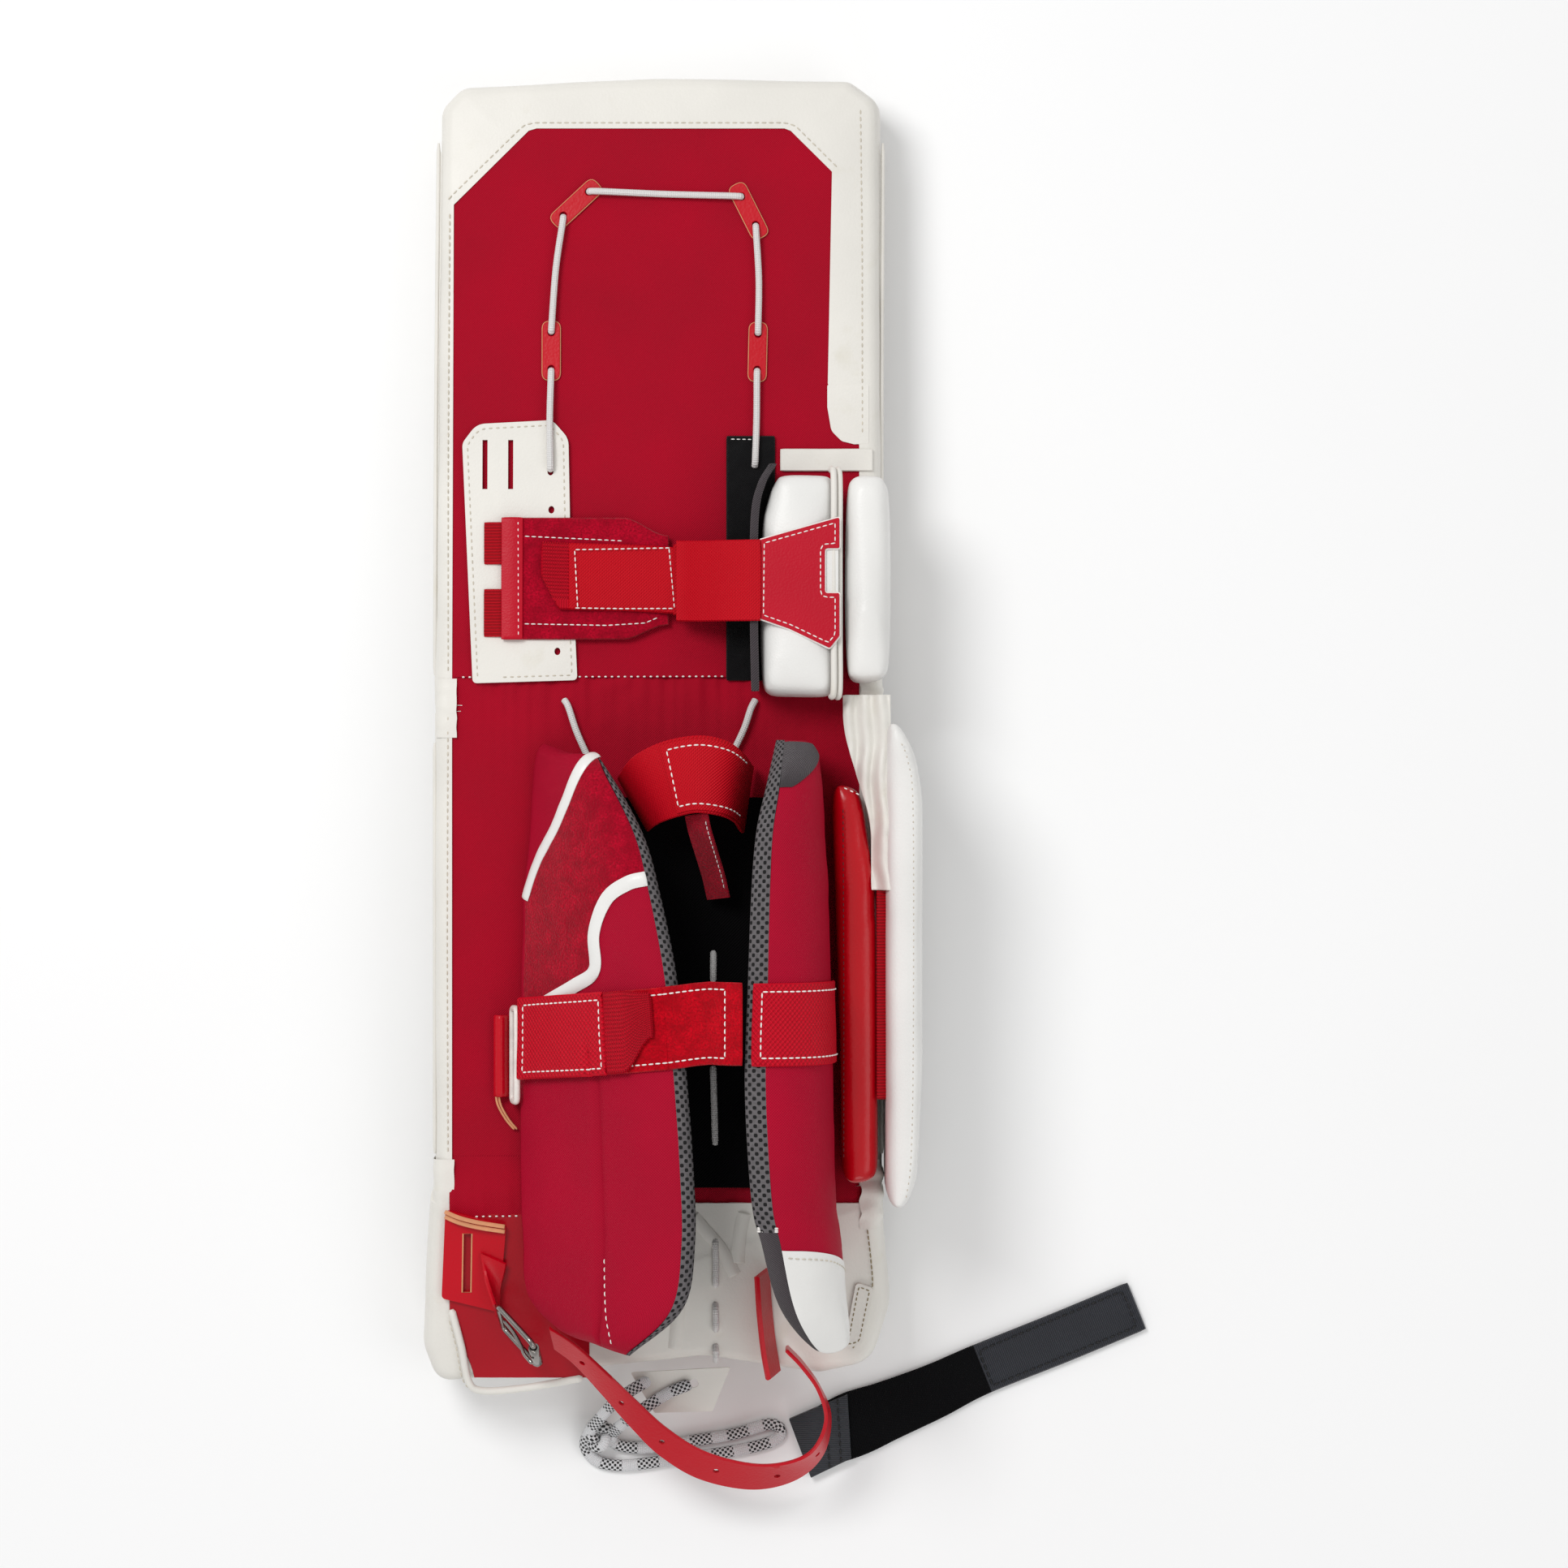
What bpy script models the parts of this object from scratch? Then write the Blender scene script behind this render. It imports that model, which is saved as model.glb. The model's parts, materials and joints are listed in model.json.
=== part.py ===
"""A hockey goaltender's leg pad, front face down, seen from its leg side.

The pad is laid out flat in millimetres: X across it, Y along it towards the
thigh end, Z up from its front face. Empties at the two breaks then set the
thigh and the boot at their rest angles, and empties on the other joint axes
carry the wings, the straps and the buckle.
"""
import math

import bmesh
import bpy
from mathutils import Vector

for leftover in list(bpy.data.objects):
    bpy.data.objects.remove(leftover, do_unlink=True)

# Driving dimensions, in millimetres and degrees
MM = 0.001
PAD_DEPTH = 54.4
WALL = 2.2
GAP = 0.4
THIGH_END = 413.0
KNEE_BREAK = 15.0
BOOT_BREAK = -283.0
BREAK_CLEARANCE = 0.6
PAD_LEFT = -138.0
PAD_RIGHT = 142.0
SHIN_RISE = 21.0
THIGH_SET = 3.04
BOOT_SET = 10.3
SKIN_Z = PAD_DEPTH + GAP
WING_ROOT_Z = 61.0
WING_THICKNESS = 10.0
STRAP_THICKNESS = 2.4
LACE_RADIUS = 2.2
BUCKLE_LENGTH = 36.0
BUCKLE_WIDTH = 28.0
OUTER_BLOCK_RIGHT = 165.4
BOOT_LEFT = -147.0
STRAP_LOOP_END = -479.0
CENTRE_X = (OUTER_BLOCK_RIGHT + BOOT_LEFT) / 2
CENTRE_Y = (THIGH_END + STRAP_LOOP_END) / 2 + 1.0

COLOURS = {
    "crimson": (0.40, 0.003, 0.016, 0.75),
    "red_leather": (0.60, 0.004, 0.007, 0.45),
    "white_leather": (0.76, 0.74, 0.70, 0.5),
    "gray": (0.07, 0.06, 0.065, 0.9),
    "black": (0.012, 0.012, 0.013, 0.9),
    "foam": (0.30, 0.31, 0.33, 0.95),
    "plastic": (0.03, 0.03, 0.035, 0.5),
    "steel": (0.35, 0.34, 0.33, 0.28),
}

BODIES = {}
MATERIALS = {}


def material(name):
    if name not in MATERIALS:
        red, green, blue, rough = COLOURS[name]
        made = bpy.data.materials.new(name)
        made.use_nodes = True
        shader = made.node_tree.nodes["Principled BSDF"]
        shader.inputs["Base Color"].default_value = (red, green, blue, 1.0)
        shader.inputs["Roughness"].default_value = rough
        shader.inputs["Metallic"].default_value = 1.0 if name == "steel" else 0.0
        MATERIALS[name] = made
    return MATERIALS[name]


def add_body(name, parent, pivot, tilt=0.0):
    """An empty on a joint's axis; pivot is in the flat layout."""
    empty = bpy.data.objects.new(f"{name}_axis", None)
    bpy.context.scene.collection.objects.link(empty)
    pivot = Vector(pivot)
    if parent:
        holder, holder_pivot = BODIES[parent]
        empty.parent = holder
        empty.location = (pivot - holder_pivot) * MM
    else:
        empty.location = Vector((-CENTRE_X, -CENTRE_Y, SHIN_RISE)) * MM
    empty.rotation_euler = (math.radians(tilt), 0.0, 0.0)
    BODIES[name] = (empty, pivot)


def place(obj, body, finish):
    empty, pivot = BODIES[body]
    bpy.context.scene.collection.objects.link(obj)
    obj.parent = empty
    obj.location = -pivot * MM
    obj.data.materials.append(material(finish))
    return obj


def close_mesh(name, mesh_data, body, finish):
    """Turns a bmesh in millimetres into a placed object with faces out."""
    bmesh.ops.recalc_face_normals(mesh_data, faces=mesh_data.faces)
    if mesh_data.calc_volume(signed=True) < 0:
        bmesh.ops.reverse_faces(mesh_data, faces=mesh_data.faces)
    bmesh.ops.scale(mesh_data, vec=(MM, MM, MM), verts=mesh_data.verts)
    mesh = bpy.data.meshes.new(name)
    mesh_data.to_mesh(mesh)
    mesh_data.free()
    mesh.shade_smooth()
    mesh.set_sharp_from_angle(angle=math.radians(35))
    return place(bpy.data.objects.new(name, mesh), body, finish)


def inset(corners, distance):
    """Moves the sides of an anticlockwise outline of (x, y, radius) inwards."""
    moved = []
    for i, (x, y, radius) in enumerate(corners):
        here = Vector((x, y))
        before = (here - Vector(corners[i - 1][:2])).normalized()
        after = (Vector(corners[(i + 1) % len(corners)][:2]) - here).normalized()
        left_before = Vector((-before.y, before.x))
        left_after = Vector((-after.y, after.x))
        step = (left_before + left_after) * (distance / (1 + left_before.dot(left_after)))
        turn = 1 if before.cross(after) >= 0 else -1
        moved.append((x + step.x, y + step.y, max(radius - turn * distance, 0.3)))
    return moved


def rounded(corners, steps=3):
    """The points of an outline whose corners are arcs of their own radius."""
    points = []
    for i, (x, y, radius) in enumerate(corners):
        here = Vector((x, y))
        before = (Vector(corners[i - 1][:2]) - here).normalized()
        after = (Vector(corners[(i + 1) % len(corners)][:2]) - here).normalized()
        half = before.angle(after) / 2
        reach = radius / math.tan(half) if half < math.pi / 2 - 1e-4 else 0.0
        if reach < 0.05:
            reach = 0.05
        start = here + before * reach
        end = here + after * reach
        for k in range(steps + 1):
            t = k / steps
            points.append((start * (1 - t) ** 2 + here * 2 * t * (1 - t) + end * t * t).to_tuple())
    return points


def bridge(mesh_data, ring_a, ring_b):
    for k in range(len(ring_a)):
        n = (k + 1) % len(ring_a)
        mesh_data.faces.new((ring_a[k], ring_a[n], ring_b[n], ring_b[k]))


def loft(name, rings, body, finish):
    """One closed solid through rings of points, capped at both ends."""
    mesh_data = bmesh.new()
    rows = [[mesh_data.verts.new(p) for p in ring] for ring in rings]
    for ring_a, ring_b in zip(rows, rows[1:]):
        bridge(mesh_data, ring_a, ring_b)
    mesh_data.faces.new(rows[0])
    mesh_data.faces.new(rows[-1])
    return close_mesh(name, mesh_data, body, finish)


def stack(name, corners, levels, body, finish):
    """A solid or an open tray: levels are (inset, z) from one cap to the other."""
    rings = []
    for distance, z in levels:
        rings.append([(x, y, z) for x, y in rounded(inset(corners, distance))])
    return loft(name, rings, body, finish)


def slab(name, corners, low, high, body, finish, edge=0.5):
    levels = [(edge, low), (0, low + edge), (0, high - edge), (edge, high)]
    return stack(name, corners, levels, body, finish)


def tray(name, corners, closed_z, open_z, body, finish, edge=4.0, wall=WALL):
    """A cover: closed at closed_z, open at open_z, its edge rounded over."""
    way = 1 if open_z > closed_z else -1
    levels = [
        (edge, closed_z),
        (edge * 0.3, closed_z + way * edge * 0.3),
        (0, closed_z + way * edge),
        (0, open_z),
        (wall, open_z),
        (wall, closed_z + way * (edge + wall * 0.5)),
        (edge + wall * 0.5, closed_z + way * wall),
    ]
    return stack(name, corners, levels, body, finish)


def plate(name, outline, low, high, holes, body, finish, shape=None):
    """A flat plate with holes; shape may bend it, point by point."""
    mesh_data = bmesh.new()
    for loop in [outline, *holes]:
        ring = [mesh_data.verts.new((x, y, low)) for x, y in loop]
        for k in range(len(ring)):
            mesh_data.edges.new((ring[k], ring[(k + 1) % len(ring)]))
    bmesh.ops.triangle_fill(mesh_data, use_beauty=True, edges=mesh_data.edges[:])
    grown = bmesh.ops.extrude_face_region(mesh_data, geom=mesh_data.faces[:])
    top = [v for v in grown["geom"] if isinstance(v, bmesh.types.BMVert)]
    bmesh.ops.translate(mesh_data, verts=top, vec=(0, 0, high - low))
    if shape:
        for vert in mesh_data.verts:
            vert.co = shape(vert.co)
    return close_mesh(name, mesh_data, body, finish)


def normals_of(grid):
    rows, cols = len(grid), len(grid[0])
    result = []
    for i in range(rows):
        line = []
        for j in range(cols):
            across = grid[i][min(j + 1, cols - 1)] - grid[i][max(j - 1, 0)]
            along = grid[min(i + 1, rows - 1)][j] - grid[max(i - 1, 0)][j]
            line.append(across.cross(along).normalized())
        result.append(line)
    return result


def layer(name, grid, low, high, body, finish):
    """A sheet of real thickness that follows a grid of points, offset along its normals."""
    rows, cols = len(grid), len(grid[0])
    normals = normals_of(grid)
    mesh_data = bmesh.new()
    sides = []
    for offset in (low, high):
        side = []
        for i in range(rows):
            points = [grid[i][j] + normals[i][j] * offset for j in range(cols)]
            side.append([mesh_data.verts.new(p) for p in points])
        sides.append(side)
    for side in sides:
        for i in range(rows - 1):
            for j in range(cols - 1):
                corners = (side[i][j], side[i][j + 1], side[i + 1][j + 1], side[i + 1][j])
                mesh_data.faces.new(corners)
    rim = [(0, j) for j in range(cols)]
    rim += [(i, cols - 1) for i in range(1, rows)]
    rim += [(rows - 1, j) for j in range(cols - 2, -1, -1)]
    rim += [(i, 0) for i in range(rows - 2, 0, -1)]
    lower = [sides[0][i][j] for i, j in rim]
    upper = [sides[1][i][j] for i, j in rim]
    bridge(mesh_data, lower, upper)
    return close_mesh(name, mesh_data, body, finish)


def smooth_route(points, count):
    """Evenly spaced points on a smooth curve through the route's own points."""
    points = [Vector(p) for p in points]
    ends = [points[0] * 2 - points[1], *points, points[-1] * 2 - points[-2]]
    fine = []
    for a, b, c, d in zip(ends, ends[1:], ends[2:], ends[3:]):
        for k in range(16):
            t = k / 16
            cubic = (b * 2 + (c - a) * t + (a * 2 - b * 5 + c * 4 - d) * t * t
                     + (b * 3 - a - c * 3 + d) * t ** 3) / 2
            fine.append(cubic)
    fine.append(points[-1])
    lengths = [0.0]
    for a, b in zip(fine, fine[1:]):
        lengths.append(lengths[-1] + (b - a).length)
    route = []
    k = 0
    for n in range(count):
        target = lengths[-1] * n / (count - 1)
        while k < len(fine) - 2 and lengths[k + 1] < target:
            k += 1
        part = (target - lengths[k]) / max(lengths[k + 1] - lengths[k], 1e-9)
        route.append(fine[k].lerp(fine[k + 1], min(part, 1.0)))
    return route


def tube(name, points, radius, count, body, finish):
    curve = bpy.data.curves.new(name, "CURVE")
    curve.dimensions = "3D"
    curve.bevel_depth = radius * MM
    curve.bevel_resolution = 2
    curve.use_fill_caps = True
    curve.render_resolution_u = 0
    spline = curve.splines.new("POLY")
    route = smooth_route(points, count)
    spline.points.add(len(route) - 1)
    for point, place_at in zip(spline.points, route):
        point.co = (*(place_at * MM), 1.0)
    return place(bpy.data.objects.new(name, curve), body, finish)


def strap_grid(points, widths, half_width):
    """Rows across a strap: a centre line and, at each point, which way is across."""
    grid = []
    for point, width in zip(points, widths):
        across = Vector(width).normalized() * half_width
        middle = Vector(point)
        grid.append([middle - across, middle, middle + across])
    return grid


def sleeve(name, start, end, inner, outer, sides, body, finish):
    """A short open tube between two points."""
    axis = (Vector(end) - Vector(start)).normalized()
    side = axis.orthogonal().normalized()
    other = axis.cross(side)
    mesh_data = bmesh.new()
    rows = []
    for centre, radius in ((start, inner), (start, outer), (end, outer), (end, inner)):
        row = []
        for k in range(sides):
            angle = 2 * math.pi * k / sides
            arm = side * math.cos(angle) + other * math.sin(angle)
            row.append(mesh_data.verts.new(Vector(centre) + arm * radius))
        rows.append(row)
    for k in range(4):
        bridge(mesh_data, rows[k], rows[(k + 1) % 4])
    return close_mesh(name, mesh_data, body, finish)


def closed_bar(name, corners, origin, along, across, radius, sides, body, finish):
    """A round bar bent into a closed frame in the plane of two directions."""
    normal = along.cross(across)
    path = [origin + along * x + across * y for x, y in rounded(corners, 4)]
    mesh_data = bmesh.new()
    rows = []
    for k, point in enumerate(path):
        ahead = (path[(k + 1) % len(path)] - path[k - 1]).normalized()
        out = normal.cross(ahead)
        row = []
        for s in range(sides):
            angle = 2 * math.pi * s / sides
            arm = out * math.cos(angle) + normal * math.sin(angle)
            row.append(mesh_data.verts.new(point + arm * radius))
        rows.append(row)
    for k in range(len(rows)):
        bridge(mesh_data, rows[k], rows[(k + 1) % len(rows)])
    return close_mesh(name, mesh_data, body, finish)


def to_boot(point):
    """A place given with the pad at rest, in the boot's flat layout."""
    x, y, z = point
    angle = math.radians(BOOT_SET)
    back, up = y - BOOT_BREAK, z - SHIN_RISE
    turned_y = back * math.cos(angle) + up * math.sin(angle)
    turned_z = up * math.cos(angle) - back * math.sin(angle)
    return Vector((x, BOOT_BREAK + turned_y, turned_z))


def mix(a, b, t):
    return a + (b - a) * t


# The pad's bodies, each with its empty on its joint's axis
KNEE_WING_HINGE = (115.5, 0.0, 93.0)
KNEE_STRAP_HINGE = (64.0, 0.0, 99.0)
KNEE_PATCH_HINGE = (-106.0, 0.0, 58.4)
LEFT_WING_HINGE = (-80.0, 0.0, 58.5)
RIGHT_WING_HINGE = (90.0, 0.0, 58.0)
CALF_STRAP_HINGE = (56.0, 0.0, 156.0)
UPPER_BAND_HINGE = (20.0, -19.0, 58.0)
CALF_TAB_HINGE = (-83.0, 0.0, 73.0)
BUCKLE_ALONG = Vector((0.63, -0.50, 0.594)).normalized()
BUCKLE_ACROSS = Vector((0.086, -0.715, -0.694)).normalized()
BUCKLE_BAR = Vector((-96.3, -352.6, 72.0))
ROLLER_BAR = BUCKLE_BAR + BUCKLE_ALONG * BUCKLE_LENGTH

add_body("shin", None, (0, 0, 0))
add_body("thigh", "shin", (0, KNEE_BREAK, 0), -THIGH_SET)
add_body("boot", "shin", (0, BOOT_BREAK, 0), BOOT_SET)
add_body("knee_wing", "thigh", KNEE_WING_HINGE)
add_body("knee_strap", "knee_wing", KNEE_STRAP_HINGE)
add_body("knee_patch", "thigh", KNEE_PATCH_HINGE)
add_body("upper_band", "shin", UPPER_BAND_HINGE)
add_body("left_wing", "shin", LEFT_WING_HINGE)
add_body("right_wing", "shin", RIGHT_WING_HINGE)
add_body("calf_strap", "right_wing", CALF_STRAP_HINGE)
add_body("calf_tab", "calf_strap", CALF_TAB_HINGE)
add_body("buckle", "boot", BUCKLE_BAR)
add_body("buckle_roller", "buckle", ROLLER_BAR)
add_body("buckle_prong", "buckle", BUCKLE_BAR)


# Pad sections: a stitched cover, a plastic stiffener, a foam core and a back panel
THIGH_OUTLINE = [
    (PAD_LEFT, KNEE_BREAK + BREAK_CLEARANCE, 1), (PAD_RIGHT, KNEE_BREAK + BREAK_CLEARANCE, 1),
    (PAD_RIGHT - 1, THIGH_END - 16, 14), (122, THIGH_END - 2, 12), (0, THIGH_END, 40),
    (-122, THIGH_END - 6, 14), (PAD_LEFT + 3, THIGH_END - 20, 12),
]
SHIN_OUTLINE = [
    (PAD_LEFT, BOOT_BREAK + BREAK_CLEARANCE, 1), (PAD_RIGHT, BOOT_BREAK + BREAK_CLEARANCE, 1),
    (PAD_RIGHT, KNEE_BREAK - BREAK_CLEARANCE, 1), (PAD_LEFT, KNEE_BREAK - BREAK_CLEARANCE, 1),
]
BOOT_OUTLINE = [
    (PAD_LEFT - 3, BOOT_BREAK - BREAK_CLEARANCE, 1), (-147, -378, 20), (-138, -402, 14),
    (-45, -394, 40), (30, -385, 40), (103, -396, 20), (136, -389, 22), (147, -352, 30),
    (143, -306, 8), (PAD_RIGHT, BOOT_BREAK - BREAK_CLEARANCE, 1),
]


def pad_section(name, outline, panel_finish, stiffened):
    tray(f"{name}_cover", outline, 0, PAD_DEPTH, name, "white_leather")
    inside = inset(outline, WALL + GAP)
    core_low = WALL + 4
    if stiffened:
        slab(f"{name}_stiffener", inset(inside, 3), core_low, core_low + 2, name, "plastic")
        core_low += 2 + GAP
    slab(f"{name}_core", inside, core_low, PAD_DEPTH - 3, name, "foam", edge=1.5)
    slab(f"{name}_back_panel", inside, PAD_DEPTH - 3 + GAP, PAD_DEPTH, name, panel_finish)


pad_section("thigh", THIGH_OUTLINE, "crimson", True)
pad_section("shin", SHIN_OUTLINE, "crimson", True)
pad_section("boot", BOOT_OUTLINE, "white_leather", False)


# Thigh: white facing, lace tabs and lace, knee plate and hook strip
FACING_OUTLINE = [
    (-134, 329), (-128, 329), (-79, 379), (85, 378), (111, 352), (108, 202), (114, 184),
    (127, 179), (139, 180), (139, 395), (120, 408.5), (0, 411), (-121, 405), (-134, 390),
]
plate("thigh_facing", FACING_OUTLINE[::-1], SKIN_Z, SKIN_Z + 1.4, [], "thigh", "white_leather")

LACE_TABS = [
    ((-58, 324), (-42, 339)), ((54, 336), (63, 318)),
    ((-65.4, 250), (-65.4, 227)), ((64.5, 249), (64, 226.5)),
]
TAB_LENGTH = 37.0
TAB_WIDTH = 11.0
TAB_TOP = SKIN_Z + 1.6


def lace_tab(number, hole_a, hole_b):
    """A leather tab with two holes, lying under the lace."""
    a, b = Vector(hole_a), Vector(hole_b)
    along = (b - a).normalized()
    side = Vector((-along.y, along.x))
    middle = (a + b) / 2
    reach, half_width, half_holes = TAB_LENGTH / 2, TAB_WIDTH / 2, (b - a).length / 2

    def turned(points):
        return [(middle + along * x + side * y).to_tuple() for x, y in points]

    outline = rounded([(-reach, -half_width, 3), (reach, -half_width, 3),
                       (reach, half_width, 3), (-reach, half_width, 3)])
    holes = []
    for centre in (-half_holes, half_holes):
        circle = [2 * math.pi * k / 8 for k in range(8)]
        holes.append(turned([(centre + 2.4 * math.cos(t), 2.4 * math.sin(t)) for t in circle]))
    name = f"lace_tab_{number}"
    plate(name, turned(outline), SKIN_Z, TAB_TOP, holes, "thigh", "red_leather")


for index, (first, second) in enumerate(LACE_TABS):
    lace_tab(index + 1, first, second)

LACE_Z = TAB_TOP + LACE_RADIUS + 0.4
PLATE_TOP = SKIN_Z + 2.8
OVER_PLATE = PLATE_TOP + LACE_RADIUS + 0.5
THIGH_LACE = [
    (-65.4, 164, OVER_PLATE), (-65.4, 200, OVER_PLATE), (-65.4, 227, LACE_Z),
    (-65.4, 250, LACE_Z), (-63, 290, LACE_Z), (-58, 324, LACE_Z), (-42, 339, LACE_Z),
    (-10, 338, LACE_Z), (25, 337, LACE_Z), (54, 336, LACE_Z), (63, 318, LACE_Z),
    (64, 285, LACE_Z), (64.5, 249, LACE_Z), (64, 226.5, LACE_Z), (63.5, 200, LACE_Z),
    (62.5, 168, LACE_Z + 0.6),
]
tube("thigh_lace", THIGH_LACE, LACE_RADIUS, 48, "thigh", "white_leather")

KNEE_PLATE = [
    (-114, 29, 3), (-48.5, 31, 3), (-53.3, 131, 20), (-54.4, 183, 12), (-64.5, 194.5, 8),
    (-112, 192, 12), (-121, 180, 8),
]
SLOTS = [(-106.7, 151, 182), (-90.6, 151, 182)]
slot_loops = [[(x - 1.6, a), (x + 1.6, a), (x + 1.6, b), (x - 1.6, b)] for x, a, b in SLOTS]
plate("knee_plate", rounded(KNEE_PLATE), SKIN_Z, PLATE_TOP, slot_loops, "thigh", "white_leather")
HOOK_STRIP = [(45, 31, 2), (74, 32, 2), (75, 183, 2), (46, 184, 2)]
slab("knee_hook_strip", HOOK_STRIP, SKIN_Z, SKIN_Z + 2, "thigh", "black")

TIE_OUTLINE = [(78, 162.5), (128, 161.5), (137, 174.5), (78, 177)]
plate("wing_tie", TIE_OUTLINE, SKIN_Z, SKIN_Z + 2, [], "thigh", "white_leather")

OUTER_KNEE = [(119, 26, 6), (147, 28, 8), (147, 158, 10), (119, 158, 8)]
OUTER_KNEE_TOP = 95.0
tray("outer_knee_cover", OUTER_KNEE, OUTER_KNEE_TOP, SKIN_Z + 0.2, "thigh", "white_leather")
slab("outer_knee_foam", inset(OUTER_KNEE, 6.4), SKIN_Z + 0.2, OUTER_KNEE_TOP - 3, "thigh", "foam")


# Knee patch: a brushed flap with two webbing tabs, hinged on the knee plate
PATCH_LOW = PLATE_TOP + GAP
PATCH_OUTLINE = [
    (-106, 58), (-95, 58), (-95, 60), (-84, 60), (-84, 56.5), (6, 64), (6, 120), (-84, 132),
    (-84, 128), (-95, 128), (-95, 130), (-106, 130), (-106, 103), (-95, 103), (-84, 105),
    (-84, 86), (-95, 88), (-106, 88),
]
plate("knee_patch", PATCH_OUTLINE, PATCH_LOW, PATCH_LOW + 2.2, [], "knee_patch", "crimson")


# Knee wing: a padded block, with the leather tab that the knee strap is sewn to
KNEE_WING = [(66, 18, 8), (113.5, 17.5, 6), (113.5, 158, 6), (75, 159, 10), (66, 130, 20)]
KNEE_WING_TOP = 94.0
KNEE_WING_BASE = 58.2
tray("knee_wing_cover", KNEE_WING, KNEE_WING_TOP, KNEE_WING_BASE, "knee_wing", "white_leather")
wing_foam = inset(KNEE_WING, 6.4)
slab("knee_wing_foam", wing_foam, KNEE_WING_BASE, KNEE_WING_TOP - 3, "knee_wing", "foam")
KNEE_TAB = [(66, 66.5), (84, 60), (109, 48), (114, 55.5), (114, 82), (105.5, 82),
            (105.5, 110), (114, 110), (114, 129), (66, 115)]
tab_low = KNEE_WING_TOP + GAP
plate("knee_tab", KNEE_TAB, tab_low, tab_low + 2.4, [], "knee_wing", "red_leather")

# Knee strap: wide elastic and a hook-ended webbing strap that lies on the patch
STRAP_TOP = PATCH_LOW + 2.2
ELASTIC_LINE = [(63.2, 90, 97.6), (57, 90, 97.2), (44, 90, 90), (30, 91, 80), (17, 92, 70.5)]
HOOK_LINE = [
    (16.4, 93, 66.4), (9, 94, 64), (-4, 94, STRAP_TOP + 2.4), (-26, 95, STRAP_TOP + 2),
    (-48, 95, STRAP_TOP + 2), (-62, 96, STRAP_TOP + 2), (-68, 96, STRAP_TOP + 2),
]
across_pad = (0, 1, 0)
elastic = strap_grid(ELASTIC_LINE, [across_pad] * len(ELASTIC_LINE), 24)
layer("knee_strap_elastic", elastic, -1.2, 1.2, "knee_strap", "crimson")
hook = strap_grid(HOOK_LINE, [across_pad] * len(HOOK_LINE), 20)
layer("knee_strap_hook", hook, -1.6, 1.6, "knee_strap", "crimson")


# Shin: channel liner, laces, side block and outer calf block
LINER = [(-58, -280, 2), (82, -280, 2), (82, 8, 2), (-58, 8, 2)]
slab("channel_liner", LINER, SKIN_Z, SKIN_Z + 2, "shin", "black")
liner_top = SKIN_Z + 2 + LACE_RADIUS + 0.3
CHANNEL_LACE = [(37, -128, liner_top), (37, -150, liner_top), (36, -200, liner_top),
                (37, -240, liner_top), (37, -264, liner_top)]
tube("channel_lace", CHANNEL_LACE, LACE_RADIUS, 14, "shin", "white_leather")
LOWER_LACES = {
    "left": [(-52, 12, liner_top), (-47, 0, liner_top), (-43, -14, liner_top)],
    "right": [(57, 12, liner_top), (54, 2, liner_top), (50.5, -9, liner_top)],
}
for side_name, route in LOWER_LACES.items():
    tube(f"lower_lace_{side_name}", route, LACE_RADIUS, 5, "shin", "white_leather")

SIDE_BLOCK = [(116, -281, 3), (138.5, -276, 6), (137, -98, 40), (130, -36, 8), (116, -30, 5)]
SIDE_BLOCK_TOP = 100.0
tray("side_block_cover", SIDE_BLOCK, SIDE_BLOCK_TOP, SKIN_Z + 0.2, "shin", "red_leather")
BLOCK_FOAM = [(122.4, -274, 1), (132, -270, 3), (130.6, -98, 20), (125, -52, 1), (122.4, -50, 1)]
slab("side_block_foam", BLOCK_FOAM, SKIN_Z + 0.2, SIDE_BLOCK_TOP - 3, "shin", "foam")

OUTER_CALF = [
    (144.5, -297, 3), (155, -296, 8), (162, -279, 16), (165.4, -200, 60), (165.4, -40, 16),
    (161, -12, 14), (153, 1, 8), (144.5, 6, 3),
]
OUTER_CALF_LOW = 12.0
OUTER_CALF_TOP = 118.0
tray("outer_calf_cover", OUTER_CALF, OUTER_CALF_TOP, OUTER_CALF_LOW, "shin", "white_leather")
CALF_FOAM = [
    (150.5, -284, 1), (153, -284, 1), (156.4, -268, 6), (159.2, -200, 30), (159.2, -44, 8),
    (155.5, -20, 4), (150.5, -12, 1),
]
slab("outer_calf_foam", CALF_FOAM, OUTER_CALF_LOW + 1, OUTER_CALF_TOP - 3, "shin", "foam")


# Upper calf band: an arched elastic band over the leg channel
BAND_ROWS = [
    ((-22, -27, 59), (-4, -60, 59)), ((-21, -26, 84), (-3, -59, 84)),
    ((-12, -15, 104), (5, -54, 104)), ((6, -6, 117), (17, -50, 117)),
    ((28, -2, 121), (28, -48, 121)), ((45, -5, 117), (42, -50, 117)),
    ((55, -12, 104), (50, -54, 104)), ((60, -19, 84), (54, -60, 84)),
    ((61, -20, 59), (55, -61, 59)),
]
band = []
for upper_edge, lower_edge in BAND_ROWS:
    ends = Vector(upper_edge), Vector(lower_edge)
    band.append([ends[0].lerp(ends[1], t) for t in (0, 0.5, 1)])
layer("upper_calf_band", band, -1.3, 1.3, "upper_band", "crimson")


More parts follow.
